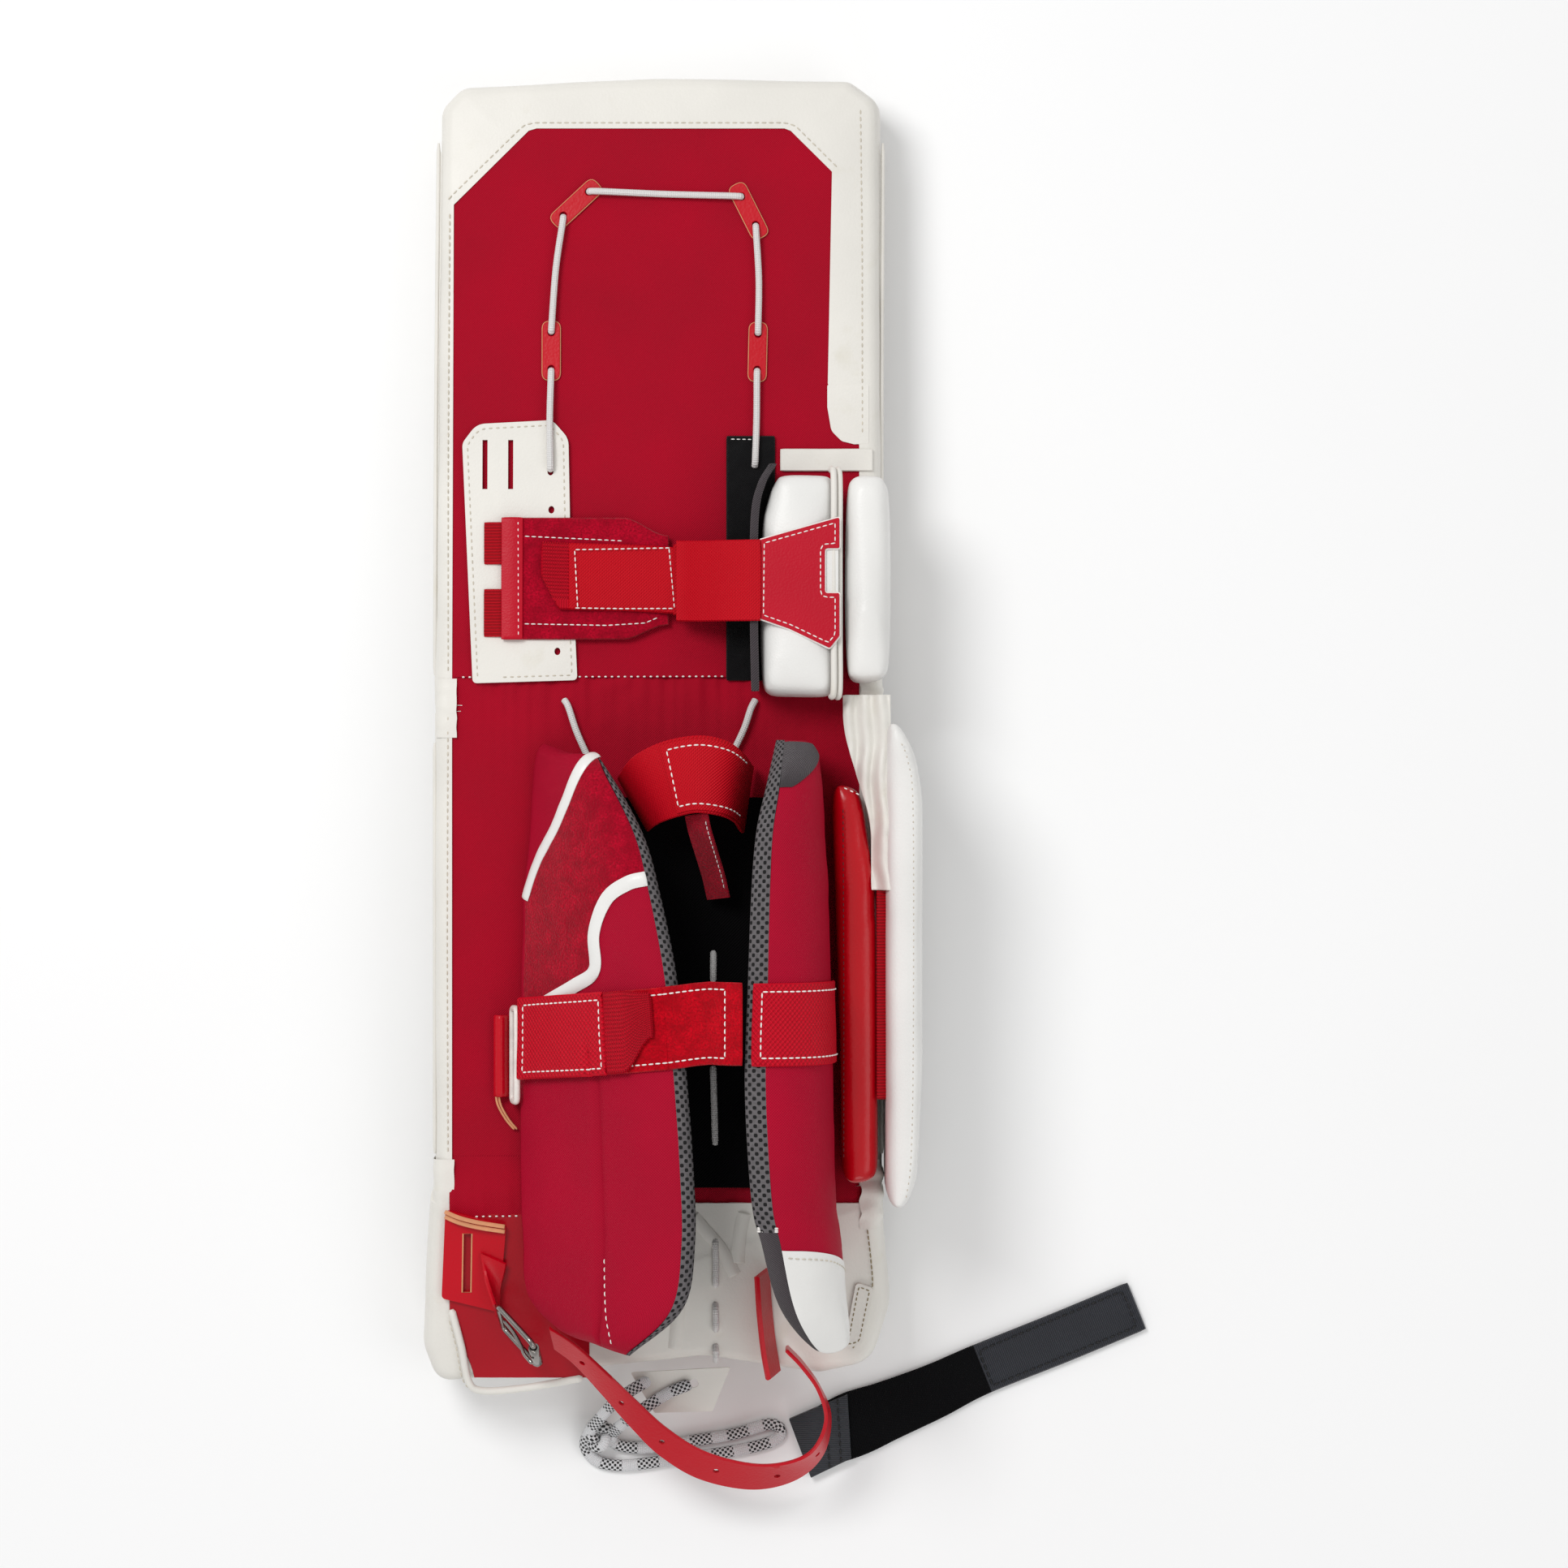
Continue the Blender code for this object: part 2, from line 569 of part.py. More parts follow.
# Left calf wing: lining, foam and cover sewn in one leaf that leans over the channel
LEFT_WING = [
    # y, x and z at the root, then y, x and z at the free edge
    ((-69, -6, 64), (-36, -17, 88)),
    ((-71, -28, WING_ROOT_Z), (-25, -27, 104)),
    ((-73.5, -64, WING_ROOT_Z), (-5.5, -62, 117)),
    ((-77, -98, WING_ROOT_Z), (4.5, -96, 124)),
    ((-78.7, -150, WING_ROOT_Z), (15.5, -150, 128)),
    ((-79.5, -208, WING_ROOT_Z), (21.3, -208, 129)),
    ((-79.8, -266, WING_ROOT_Z), (25.5, -266, 129)),
    ((-78, -315, WING_ROOT_Z + 3), (26.5, -312, 129)),
    ((-74, -350, WING_ROOT_Z + 8), (19, -352, 126)),
    ((-46, -374, WING_ROOT_Z + 24), (-14, -382, 116)),
]
WING_COLUMNS = 8
COVER_SHARE = 0.93


def left_wing_point(row, u):
    root, free = LEFT_WING[row]
    rise = math.sin(u * math.pi / 2)
    return Vector((mix(root[0], free[0], u), mix(root[1], free[1], u), mix(root[2], free[2], rise)))


WING_SHARES = [COVER_SHARE * k / WING_COLUMNS for k in range(WING_COLUMNS + 1)]


def left_wing_grid(shares):
    return [[left_wing_point(row, u) for u in shares] for row in range(len(LEFT_WING))]


half_wing = WING_THICKNESS / 2
foam_half = half_wing - 2.1
left_lining = left_wing_grid([*WING_SHARES, 1.0])
layer("left_wing_lining", left_lining, half_wing - 1.6, half_wing, "left_wing", "gray")
left_middle = left_wing_grid(WING_SHARES)
layer("left_wing_foam", left_middle, -foam_half, foam_half, "left_wing", "foam")
layer("left_wing_cover", left_middle, -half_wing, -half_wing + 1.6, "left_wing", "crimson")


# Right calf wing: the same build, steeper, bulging against the side block
RIGHT_WING = [
    # root x, root z, bulge x, free x, free z, y
    (84, 62, 97, 76, 112, -4),
    (86, WING_ROOT_Z, 102, 70, 138, -32),
    (87, WING_ROOT_Z, 104, 64, 147, -60),
    (88, WING_ROOT_Z, 107, 61, 150, -96),
    (89, WING_ROOT_Z, 109, 59, 151, -149),
    (90, WING_ROOT_Z, 111, 57, 151, -215),
    (90, WING_ROOT_Z, 113, 61, 150, -284),
    (93, WING_ROOT_Z + 2, 116, 67, 148, -310),
    (98, WING_ROOT_Z + 6, 117, 76, 137, -345),
    (103, WING_ROOT_Z + 12, 117, 88, 122, -366),
    (107, WING_ROOT_Z + 20, 114, 103, 104, -380),
]


def right_wing_point(row, u):
    root_x, root_z, bulge, free_x, free_z, y = RIGHT_WING[row]
    rise = free_z - root_z
    guide = [
        Vector((root_x, y, root_z)), Vector((bulge, y, root_z + 0.35 * rise)),
        Vector((bulge + 4, y, root_z + 0.97 * rise)), Vector((free_x, y, free_z)),
    ]
    weights = ((1 - u) ** 3, 3 * u * (1 - u) ** 2, 3 * u * u * (1 - u), u ** 3)
    return sum((g * w for g, w in zip(guide, weights)), Vector((0, 0, 0)))


def right_wing_grid(shares):
    return [[right_wing_point(row, u) for u in shares] for row in range(len(RIGHT_WING))]


right_lining = right_wing_grid([*WING_SHARES, 1.0])
layer("right_wing_lining", right_lining, -half_wing, -half_wing + 1.6, "right_wing", "gray")
right_middle = right_wing_grid(WING_SHARES)
layer("right_wing_foam", right_middle, -foam_half, foam_half, "right_wing", "foam")
layer("right_wing_cover", right_middle, half_wing - 1.6, half_wing, "right_wing", "crimson")


# Calf strap: from its seam on the right wing, over the left wing, to the plastic ring
CALF_STRAP_Y = (-176.5, -190.0)
CALF_STRAP_HALF = 24.5
STRAP_LIFT = half_wing + 0.7 + STRAP_THICKNESS / 2
TAB_LIFT = STRAP_LIFT + STRAP_THICKNESS / 2 + 0.6 + 1.6


def over_left_wing(y, u, lift):
    """A place above the left wing's cover, at a share u of the way to its free edge."""
    rows = [row for row in range(len(LEFT_WING) - 1) if LEFT_WING[row + 1][0][1] < y]
    row = rows[0]
    above, below = left_wing_point(row, u), left_wing_point(row + 1, u)
    part = (above.y - y) / (above.y - below.y)
    spot = above.lerp(below, part)
    step = 0.01
    further = left_wing_point(row, u + step).lerp(left_wing_point(row + 1, u + step), part)
    way = further - spot
    return spot + Vector((-way.z, 0, way.x)).normalized() * lift


def strap_row(u, lift, top=CALF_STRAP_HALF, bottom=CALF_STRAP_HALF):
    middle = mix(CALF_STRAP_Y[1], CALF_STRAP_Y[0], 0.75 * u)
    edges = (middle + top, middle + (top - bottom) / 2, middle - bottom)
    return [over_left_wing(y, u, lift) for y in edges]


base_rows = [strap_row(u, STRAP_LIFT) for u in (0.06, 0.2, 0.35, 0.5, 0.65, 0.8, 0.92, 0.99)]
for x, z in ((33, 144), (42, 149.5), (49, 153)):
    base_rows.append([Vector((x, CALF_STRAP_Y[0] + edge, z)) for edge in (24.5, 0, -24.5)])
layer("calf_strap_base", base_rows, -STRAP_THICKNESS / 2, STRAP_THICKNESS / 2,
      "calf_strap", "crimson")

tab_rows = [strap_row(u, TAB_LIFT) for u in (0.06, 0.18, 0.3, 0.42, 0.54, 0.66, 0.74)]
tab_rows.append(strap_row(0.88, TAB_LIFT, 22.5, 10))
tab_rows.append(strap_row(0.94, TAB_LIFT, 18, 2))
layer("calf_strap_tab", tab_rows, -1.6, 1.6, "calf_tab", "red_leather")

RING_LOWER = Vector((-89.0, -200.0, 58.0))
RING_UPPER = Vector((-85.5, -200.0, 70.0))
RING_HALF = 29.0
ring_way = (RING_UPPER - RING_LOWER).normalized()
ring_depth = (RING_UPPER - RING_LOWER).length
RING_CORNERS = [(0, -RING_HALF, 4), (ring_depth, -RING_HALF, 4),
                (ring_depth, RING_HALF, 4), (0, RING_HALF, 4)]
closed_bar("calf_strap_ring", RING_CORNERS, RING_LOWER, ring_way, Vector((0, 1, 0)), 2.0, 8,
           "calf_strap", "white_leather")
RING_TAB = [(-100, -226, 2), (-92.2, -226, 2), (-92.2, -176, 2), (-100, -176, 2)]
slab("ring_tab", RING_TAB, SKIN_Z, SKIN_Z + 7, "shin", "red_leather", edge=1.5)


# Boot: strap anchors, chape, buckle and boot strap
ANCHOR_TOP = SKIN_Z + 3.0
LEFT_ANCHOR = [(-134, -344, 3), (-98, -353, 3), (-93, -297, 3), (-131, -287, 3)]
ANCHOR_SLOT = [(-121, -340), (-115, -340), (-114, -302), (-120, -302)]
plate("boot_anchor_left", rounded(LEFT_ANCHOR), SKIN_Z, ANCHOR_TOP,
      [ANCHOR_SLOT], "boot", "red_leather")

RIGHT_ANCHOR_LINE = [(67, -326, 65.5), (68.5, -350, 66), (71, -374, 66), (74, -392, 65.5)]
right_anchor = strap_grid(RIGHT_ANCHOR_LINE, [(0.35, 0, -1)] * 4, 9.5)
layer("boot_anchor_right", right_anchor, -1.8, 1.8, "boot", "red_leather")

CHAPE_LINE = [(-101, -318, 60.5), (-102, -330, 62), (-101.3, -340, 65.5), (-99.2, -349, 69.8)]
chape_across = [(0.9, -0.4, -0.05), (0.6, -0.75, -0.3), (0.3, -0.75, -0.55), BUCKLE_ACROSS]
layer("buckle_chape", strap_grid(CHAPE_LINE, chape_across, 8.0), -1.2, 1.2, "boot", "red_leather")

half_buckle = BUCKLE_WIDTH / 2
BUCKLE_CORNERS = [(0, -half_buckle, 4), (BUCKLE_LENGTH, -half_buckle, 4),
                  (BUCKLE_LENGTH, half_buckle, 4), (0, half_buckle, 4)]
closed_bar("buckle_frame", BUCKLE_CORNERS, BUCKLE_BAR, BUCKLE_ALONG, BUCKLE_ACROSS, 1.8, 8,
           "buckle", "steel")
roller_reach = BUCKLE_ACROSS * (half_buckle - 4.8)
sleeve("buckle_roller", ROLLER_BAR - roller_reach, ROLLER_BAR + roller_reach, 2.3, 3.5, 12,
       "buckle_roller", "steel")
buckle_up = BUCKLE_ACROSS.cross(BUCKLE_ALONG)
PRONG_LINE = [(3.2, 0), (14, 0.6), (25, 3), (31, 5), (39.5, 5.3)]
prong = [BUCKLE_BAR + BUCKLE_ALONG * along + buckle_up * up for along, up in PRONG_LINE]
tube("buckle_prong", prong, 1.2, 10, "buckle_prong", "steel")

# The boot strap's route, with the pad at rest, and which way is across it
BOOT_STRAP = [
    ((-63.5, -376, 91), (0.09, -0.58, -0.81)), ((-50, -387, 82), (0.05, -0.62, -0.78)),
    ((-33, -405, 74), (0, -0.7, -0.71)), ((-14, -426, 66), (-0.1, -0.74, -0.66)),
    ((4.7, -445, 57), (-0.15, -0.75, -0.64)), ((29, -461, 48), (-0.1, -0.75, -0.65)),
    ((60, -469, 42), (0.05, -0.7, -0.71)), ((85, -465.5, 42), (0.25, -0.5, -0.82)),
    ((102, -453, 46), (0.25, -0.2, -0.94)), ((108.4, -431, 54), (0.1, 0, -1)),
    ((102.8, -411, 66), (0, 0, -1)), ((92.5, -395, 75), (0, 0, -1)),
    ((82.5, -384, 79), (0, 0, -1)),
]
boot_strap_rows = []
for middle, across in BOOT_STRAP:
    arm = Vector(across).normalized() * 12.5
    row = [Vector(middle) - arm, Vector(middle), Vector(middle) + arm]
    boot_strap_rows.append([to_boot(point) for point in row])
layer("boot_strap", boot_strap_rows, -1.3, 1.3, "boot", "red_leather")

boot_lace_z = SKIN_Z + LACE_RADIUS + 0.2
BOOT_LACE = [(37.5, -297, boot_lace_z), (38, -330, boot_lace_z), (38, -378, boot_lace_z)]
tube("boot_lace", BOOT_LACE, LACE_RADIUS, 10, "boot", "white_leather")


# Toe tab, toe lace and toe strap, which lie beyond the boot's end
TOE_TAB = [(-1, -428.4), (35.7, -427.4), (47, -398.5), (-16, -402)]
TOE_TAB_Z = 52.0
EYELET = (24.0, -409.0)
eyelet_loop = []
for k in range(10):
    turn = 2 * math.pi * k / 10
    eyelet_loop.append((EYELET[0] + 2.8 * math.cos(turn), EYELET[1] + 2.8 * math.sin(turn)))


def sloped_tab(co):
    return to_boot((co.x, co.y, co.z + 0.3 * (co.y + 399)))


plate("toe_tab", TOE_TAB, TOE_TAB_Z, TOE_TAB_Z + 2.4, [eyelet_loop], "boot",
      "white_leather", sloped_tab)

LACE_FLOOR = 3.2
TOE_LACE = [
    (22, -409, 54.6), (8, -415, 52.5), (-9, -426, 49), (-21, -437, 28), (-29, -447, 10),
    (-26, -454, 4), (-8, -456, LACE_FLOOR), (20, -452, LACE_FLOOR), (50, -447, LACE_FLOOR),
    (71, -441, LACE_FLOOR), (78.5, -444.5, LACE_FLOOR), (75, -451, LACE_FLOOR),
    (57, -456.5, LACE_FLOOR), (27, -461.5, LACE_FLOOR), (0, -465, LACE_FLOOR),
    (-22, -467.5, LACE_FLOOR), (-38, -465, LACE_FLOOR), (-46, -456, 5), (-44, -446, 13),
    (-36, -434, 26), (-27, -423, 40), (-15, -413, 53), (-4, -406, 59),
]
tube("toe_lace", [to_boot(p) for p in TOE_LACE], 2.4, 60, "boot", "white_leather")


def floor_piece(name, outline, low, high, finish):
    plate(name, outline, low, high, [], "boot", finish, to_boot)


FOLD = [(84, -437.5), (98, -475), (124, -462.5), (121.5, -421.5)]
ELASTIC = [(125, -462), (136, -456), (160, -442), (210.5, -419.6), (201, -392), (122.5, -421.3)]
HOOK = [(212, -420), (312.5, -379.6), (301, -350.5), (297, -351.5), (202, -392.5)]
floor_piece("toe_strap_fold", FOLD, 1.0, 7.0, "black")
floor_piece("toe_strap_elastic", ELASTIC, 2.0, 4.4, "black")
floor_piece("toe_strap_hook", HOOK, 1.2, 4.6, "black")
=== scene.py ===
"""Looks of a goaltender's leg pad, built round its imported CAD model.

Places are in the pad's flat layout, in millimetres: X across the pad, Y towards the
thigh end, Z up from the front face. Each section of the pad has a matrix that turns
its flat layout into the frame, and "rest" is for places given with the pad at rest.
"""
import math

import bmesh
import bpy
import numpy as np
from mathutils import Matrix, Vector, noise
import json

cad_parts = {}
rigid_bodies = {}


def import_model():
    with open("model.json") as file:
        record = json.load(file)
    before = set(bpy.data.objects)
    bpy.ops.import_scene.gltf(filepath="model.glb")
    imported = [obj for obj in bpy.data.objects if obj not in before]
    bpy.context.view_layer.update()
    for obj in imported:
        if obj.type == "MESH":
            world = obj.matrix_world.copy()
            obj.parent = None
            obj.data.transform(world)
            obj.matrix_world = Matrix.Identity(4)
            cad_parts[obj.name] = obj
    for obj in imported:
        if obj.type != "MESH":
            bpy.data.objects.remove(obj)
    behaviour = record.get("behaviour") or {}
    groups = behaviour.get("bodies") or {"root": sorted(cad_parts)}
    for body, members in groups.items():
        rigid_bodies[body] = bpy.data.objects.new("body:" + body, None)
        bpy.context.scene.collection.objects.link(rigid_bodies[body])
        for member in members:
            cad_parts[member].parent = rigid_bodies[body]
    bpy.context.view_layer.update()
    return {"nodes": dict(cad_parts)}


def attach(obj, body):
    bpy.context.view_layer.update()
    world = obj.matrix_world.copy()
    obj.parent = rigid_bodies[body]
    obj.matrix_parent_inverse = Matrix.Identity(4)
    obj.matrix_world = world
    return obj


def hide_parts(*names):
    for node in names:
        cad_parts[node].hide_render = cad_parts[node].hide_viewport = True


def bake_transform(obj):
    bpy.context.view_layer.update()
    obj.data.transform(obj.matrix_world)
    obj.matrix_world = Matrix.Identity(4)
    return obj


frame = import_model()

# Driving dimensions, in millimetres and degrees
MM = 0.001
CENTRE_X, CENTRE_Y = 9.2, -32.0
SHIN_RISE = 21.0
KNEE_BREAK, KNEE_TURN = 15.0, -3.04
BOOT_BREAK, BOOT_TURN = -283.0, 10.3
BREAK_CLEARANCE = 0.6
PAD_LEFT, PAD_RIGHT, THIGH_END = -138.0, 142.0, 413.0
PANEL_LEFT, PANEL_RIGHT = -127.0, 128.0
PANEL_Z = 54.2
SHELL_Z = 55.2
SKIN_Z = 54.8
KNEE_SEAM_Y = 33.0
BOOT_SEAM_Y = -292.0
PANEL_SIDES = (-128.6, 130.5)
SHELL_SEAM_Z = SHELL_Z + 0.1


def section_matrix(hinge_y, degrees):
    hinge = Vector((0, hinge_y, 0))
    to_rest = Matrix.Translation((-CENTRE_X, -CENTRE_Y, SHIN_RISE))
    turn = Matrix.Rotation(math.radians(degrees), 4, "X")
    about = Matrix.Translation(hinge) @ turn @ Matrix.Translation(-hinge)
    return Matrix.Scale(MM, 4) @ to_rest @ about


PLACES = {
    "thigh": section_matrix(KNEE_BREAK, KNEE_TURN),
    "shin": section_matrix(0, 0),
    "boot": section_matrix(BOOT_BREAK, BOOT_TURN),
    "rest": Matrix.Scale(MM, 4) @ Matrix.Translation((-CENTRE_X, -CENTRE_Y, 0)),
}
SECTIONS = {
    "thigh": "thigh", "knee_wing": "thigh", "knee_strap": "thigh", "knee_patch": "thigh",
    "shin": "shin", "upper_band": "shin", "left_wing": "shin", "right_wing": "shin",
    "calf_strap": "shin", "calf_tab": "shin",
    "boot": "boot", "buckle": "boot", "buckle_roller": "boot", "buckle_prong": "boot",
}


# ---------------------------------------------------------------- camera and stage
CAMERA_AT = (0.0716, 0.001, 3.2)
camera = bpy.data.objects.new("camera", bpy.data.cameras.new("camera"))
camera.data.sensor_width = 36.0
camera.data.lens = 114.6
camera.data.clip_end = 20.0
camera.location = CAMERA_AT
bpy.context.scene.collection.objects.link(camera)
bpy.context.scene.camera = camera


def area_light(name, place, aim, size, watts):
    lamp = bpy.data.objects.new(name, bpy.data.lights.new(name, "AREA"))
    lamp.data.shape = "DISK"
    lamp.data.size = size
    lamp.data.energy = watts
    lamp.location = place
    lamp.rotation_mode = "QUATERNION"
    lamp.rotation_quaternion = (Vector(aim) - Vector(place)).to_track_quat("-Z", "Y")
    bpy.context.scene.collection.objects.link(lamp)


area_light("key", (-1.0, 1.1, 2.2), (0, 0, 0), 1.1, 34)
area_light("fill", (1.5, -0.7, 2.0), (0, 0, 0), 1.6, 8)
area_light("rim", (0.2, -2.0, 1.0), (0, -0.2, 0), 0.9, 4)
world = bpy.data.worlds.new("studio")
world.use_nodes = True
world.node_tree.nodes["Background"].inputs["Color"].default_value = (1, 1, 1, 1)
world.node_tree.nodes["Background"].inputs["Strength"].default_value = 0.56
bpy.context.scene.world = world
bpy.context.scene.view_settings.view_transform = "Standard"


# ---------------------------------------------------------------- materials
UV_NAME = "weave"
FULL_TURN = 2 * math.pi


def srgb(red, green, blue):
    def linear(value):
        share = value / 255
        return share / 12.92 if share <= 0.04045 else ((share + 0.055) / 1.055) ** 2.4
    return tuple(linear(value) for value in (red, green, blue))


class Shader:
    """A Principled material, with short ways to build its pattern nodes."""

    def __init__(self, name, rough, metallic=0.0, **own):
        self.material = bpy.data.materials.new(name)
        self.material.use_nodes = True
        self.tree = self.material.node_tree
        self.surface = self.tree.nodes["Principled BSDF"]
        self.surface.inputs["Roughness"].default_value = rough
        self.surface.inputs["Metallic"].default_value = metallic
        for socket, value in own.items():
            self.surface.inputs[socket.replace("_", " ")].default_value = value

    def feed(self, socket, value):
        if isinstance(value, bpy.types.NodeSocket):
            self.tree.links.new(value, socket)
        else:
            socket.default_value = value

    def math(self, operation, a, b=0.0):
        node = self.tree.nodes.new("ShaderNodeMath")
        node.operation = operation
        self.feed(node.inputs[0], a)
        self.feed(node.inputs[1], b)
        return node.outputs[0]

    def across(self):
        """The cloth's own two directions, in millimetres."""
        uv = self.tree.nodes.new("ShaderNodeUVMap")
        uv.uv_map = UV_NAME
        parts = self.tree.nodes.new("ShaderNodeSeparateXYZ")
        self.tree.links.new(uv.outputs[0], parts.inputs[0])
        return parts.outputs[0], parts.outputs[1]

    def wave(self, value, period, shift=0.0):
        turned = self.math("MULTIPLY", value, FULL_TURN / period)
        return self.math("SINE", self.math("ADD", turned, shift))

    def noise(self, size, detail=3.0, stretch=(1, 1, 1)):
        """Noise whose grains are about size millimetres across."""
        place = self.tree.nodes.new("ShaderNodeTexCoord")
        scale = self.tree.nodes.new("ShaderNodeMapping")
        scale.inputs["Scale"].default_value = stretch
        grain = self.tree.nodes.new("ShaderNodeTexNoise")
        grain.inputs["Scale"].default_value = 1000.0 / size
        grain.inputs["Detail"].default_value = detail
        self.tree.links.new(place.outputs["Object"], scale.inputs["Vector"])
        self.tree.links.new(scale.outputs["Vector"], grain.inputs["Vector"])
        return grain.outputs["Fac"]

    def cells(self, size):
        place = self.tree.nodes.new("ShaderNodeTexCoord")
        grain = self.tree.nodes.new("ShaderNodeTexVoronoi")
        grain.inputs["Scale"].default_value = 1000.0 / size
        self.tree.links.new(place.outputs["Object"], grain.inputs["Vector"])
        return grain.outputs["Distance"]

    def ramp(self, value, low, high):
        node = self.tree.nodes.new("ShaderNodeMapRange")
        self.feed(node.inputs["Value"], value)
        node.inputs["From Min"].default_value = low
        node.inputs["From Max"].default_value = high
        return node.outputs["Result"]

    def mix(self, share, first, second):
        node = self.tree.nodes.new("ShaderNodeMix")
        node.data_type = "RGBA"
        self.feed(node.inputs[0], share)
        self.feed(node.inputs[6], (*first, 1.0) if isinstance(first, tuple) else first)
        self.feed(node.inputs[7], (*second, 1.0) if isinstance(second, tuple) else second)
        return node.outputs[2]

    def colour(self, value):
        self.feed(self.surface.inputs["Base Color"], value)

    def rough(self, value, low, high):
        node = self.tree.nodes.new("ShaderNodeMapRange")
        self.feed(node.inputs["Value"], value)
        node.inputs["To Min"].default_value = low
        node.inputs["To Max"].default_value = high
        self.feed(self.surface.inputs["Roughness"], node.outputs["Result"])

    def bump(self, height, distance, strength=1.0):
        node = self.tree.nodes.new("ShaderNodeBump")
        node.inputs["Strength"].default_value = strength
        node.inputs["Distance"].default_value = distance * MM
        self.feed(node.inputs["Height"], height)
        previous = self.surface.inputs["Normal"].links
        if previous:
            self.tree.links.new(previous[0].from_socket, node.inputs["Normal"])
        self.tree.links.new(node.outputs["Normal"], self.surface.inputs["Normal"])


def shaded(colour, share):
    return tuple(channel * share for channel in colour)


CRIMSON = srgb(178, 0, 36)
RED = srgb(206, 0, 26)
WHITE = srgb(228, 225, 218)
FINISHES = {}


def keep(name, slot, shader):
    FINISHES[name] = (shader.material, slot)


def nylon(name, colour, period, slot="crimson_fabric"):
    shader = Shader(name, 0.62, Specular_IOR_Level=0.12)
    u, v = shader.across()
    weave = shader.math("MULTIPLY", shader.wave(u, period), shader.wave(v, period))
    cloud = shader.noise(55, 4)
    base = shader.mix(shader.ramp(cloud, 0.3, 0.7), shaded(colour, 0.86), shaded(colour, 1.08))
    threads = shader.ramp(weave, -1, 1)
    shader.colour(shader.mix(threads, shaded(colour, 0.72), base))
    shader.rough(cloud, 0.52, 0.72)
    shader.bump(weave, 0.16)
    keep(name, slot, shader)


def brushed(name, colour, slot="crimson_fabric"):
    shader = Shader(name, 0.95, Specular_IOR_Level=0.05, Sheen_Weight=0.12)
    fuzz = shader.noise(1.3, 8)
    tufts = shader.noise(9, 3)
    base = shader.mix(shader.ramp(tufts, 0.35, 0.65), shaded(colour, 0.7), shaded(colour, 1.15))
    shader.colour(shader.mix(shader.ramp(fuzz, 0.3, 0.75), shaded(colour, 0.5), base))
    shader.bump(fuzz, 0.9)
    keep(name, slot, shader)


def webbing(name, colour, slot, kind):
    shader = Shader(name, 0.55, Specular_IOR_Level=0.15)
    u, v = shader.across()
    if kind == "ball":
        pattern = shader.math("MULTIPLY", shader.wave(u, 3.4), shader.wave(v, 3.0))
        deep, distance = 0.62, 0.5
    elif kind == "wales":
        chevron = shader.math("ABSOLUTE", shader.wave(u, 4.4))
        pattern = shader.wave(shader.math("ADD", v, shader.math("MULTIPLY", chevron, 1.0)), 1.5)
        pattern = shader.math("ADD", pattern, chevron)
        deep, distance = 0.55, 0.4
    elif kind == "ribs":
        pattern = shader.wave(v, 1.9)
        deep, distance = 0.6, 0.35
    else:
        pattern = shader.wave(shader.math("ADD", u, v), 2.0)
        pattern = shader.math("MULTIPLY", pattern, shader.ramp(shader.wave(v, 1.1), -2, 1))
        deep, distance = 0.68, 0.25
    share = shader.ramp(pattern, -1, 1)
    soft = shader.noise(40, 3)
    lit = shader.mix(soft, shaded(colour, 0.92), shaded(colour, 1.08))
    shader.colour(shader.mix(share, shaded(colour, deep), lit))
    shader.bump(pattern, distance)
    keep(name, slot, shader)


def leather(name, colour, slot, rough, grain, coat=0.0, dirt=None):
    shader = Shader(name, rough, Coat_Weight=coat, Coat_Roughness=0.22,
                    Specular_IOR_Level=0.22)
    fine = shader.cells(grain)
    wide = shader.noise(70, 4)
    base = shader.mix(shader.ramp(wide, 0.3, 0.7), shaded(colour, 0.93), shaded(colour, 1.02))
    if dirt:
        marks = shader.ramp(shader.noise(24, 6), 0.62, 0.82)
        base = shader.mix(shader.math("MULTIPLY", marks, 0.35), base, dirt)
    shader.colour(base)
    shader.rough(shader.noise(16, 5), rough - 0.07, rough + 0.1)
    shader.bump(fine, 0.09)
    shader.bump(shader.noise(20, 4), 0.5, 0.5)
    keep(name, slot, shader)


def spacer_mesh():
    shader = Shader("spacer_mesh", 0.9)
    u, v = shader.across()
    row = shader.wave(u, 5.2)
    column = shader.wave(v, 5.6)
    shifted = shader.math("MULTIPLY", row, column)
    hole = shader.ramp(shifted, 0.22, 0.42)
    thread = shader.mix(shader.noise(2, 4), srgb(72, 68, 70), srgb(112, 108, 110))
    # The holes are painted near-black: painted shade for the depth seen through the mesh, which
    # has no real openings
    shader.colour(shader.mix(hole, thread, srgb(6, 5, 6)))
    shader.bump(shader.math("SUBTRACT", 1.0, hole), 0.9)
    keep("spacer_mesh", "gray_mesh", shader)


def dark_cloth(name, slot, low, high, period, rough=0.85, sheen=0.2):
    shader = Shader(name, rough, Sheen_Weight=sheen, Specular_IOR_Level=0.1)
    u, v = shader.across()
    weave = shader.wave(shader.math("ADD", u, v), period)
    weave = shader.math("ADD", weave, shader.noise(1.2, 4))
    shader.colour(shader.mix(shader.ramp(weave, -1, 2), low, high))
    shader.bump(weave, 0.3)
    keep(name, slot, shader)


def ridged_hook():
    shader = Shader("hook_black", 0.42)
    v = shader.across()[1]
    ridges = shader.wave(v, 1.3)
    streak = shader.noise(30, 3)
    lit = shader.mix(streak, srgb(38, 40, 47), srgb(58, 61, 70))
    shader.colour(shader.mix(shader.ramp(ridges, -1, 1), srgb(26, 28, 33), lit))
    shader.bump(ridges, 0.25)
    keep("hook_black", "black_fabric", shader)


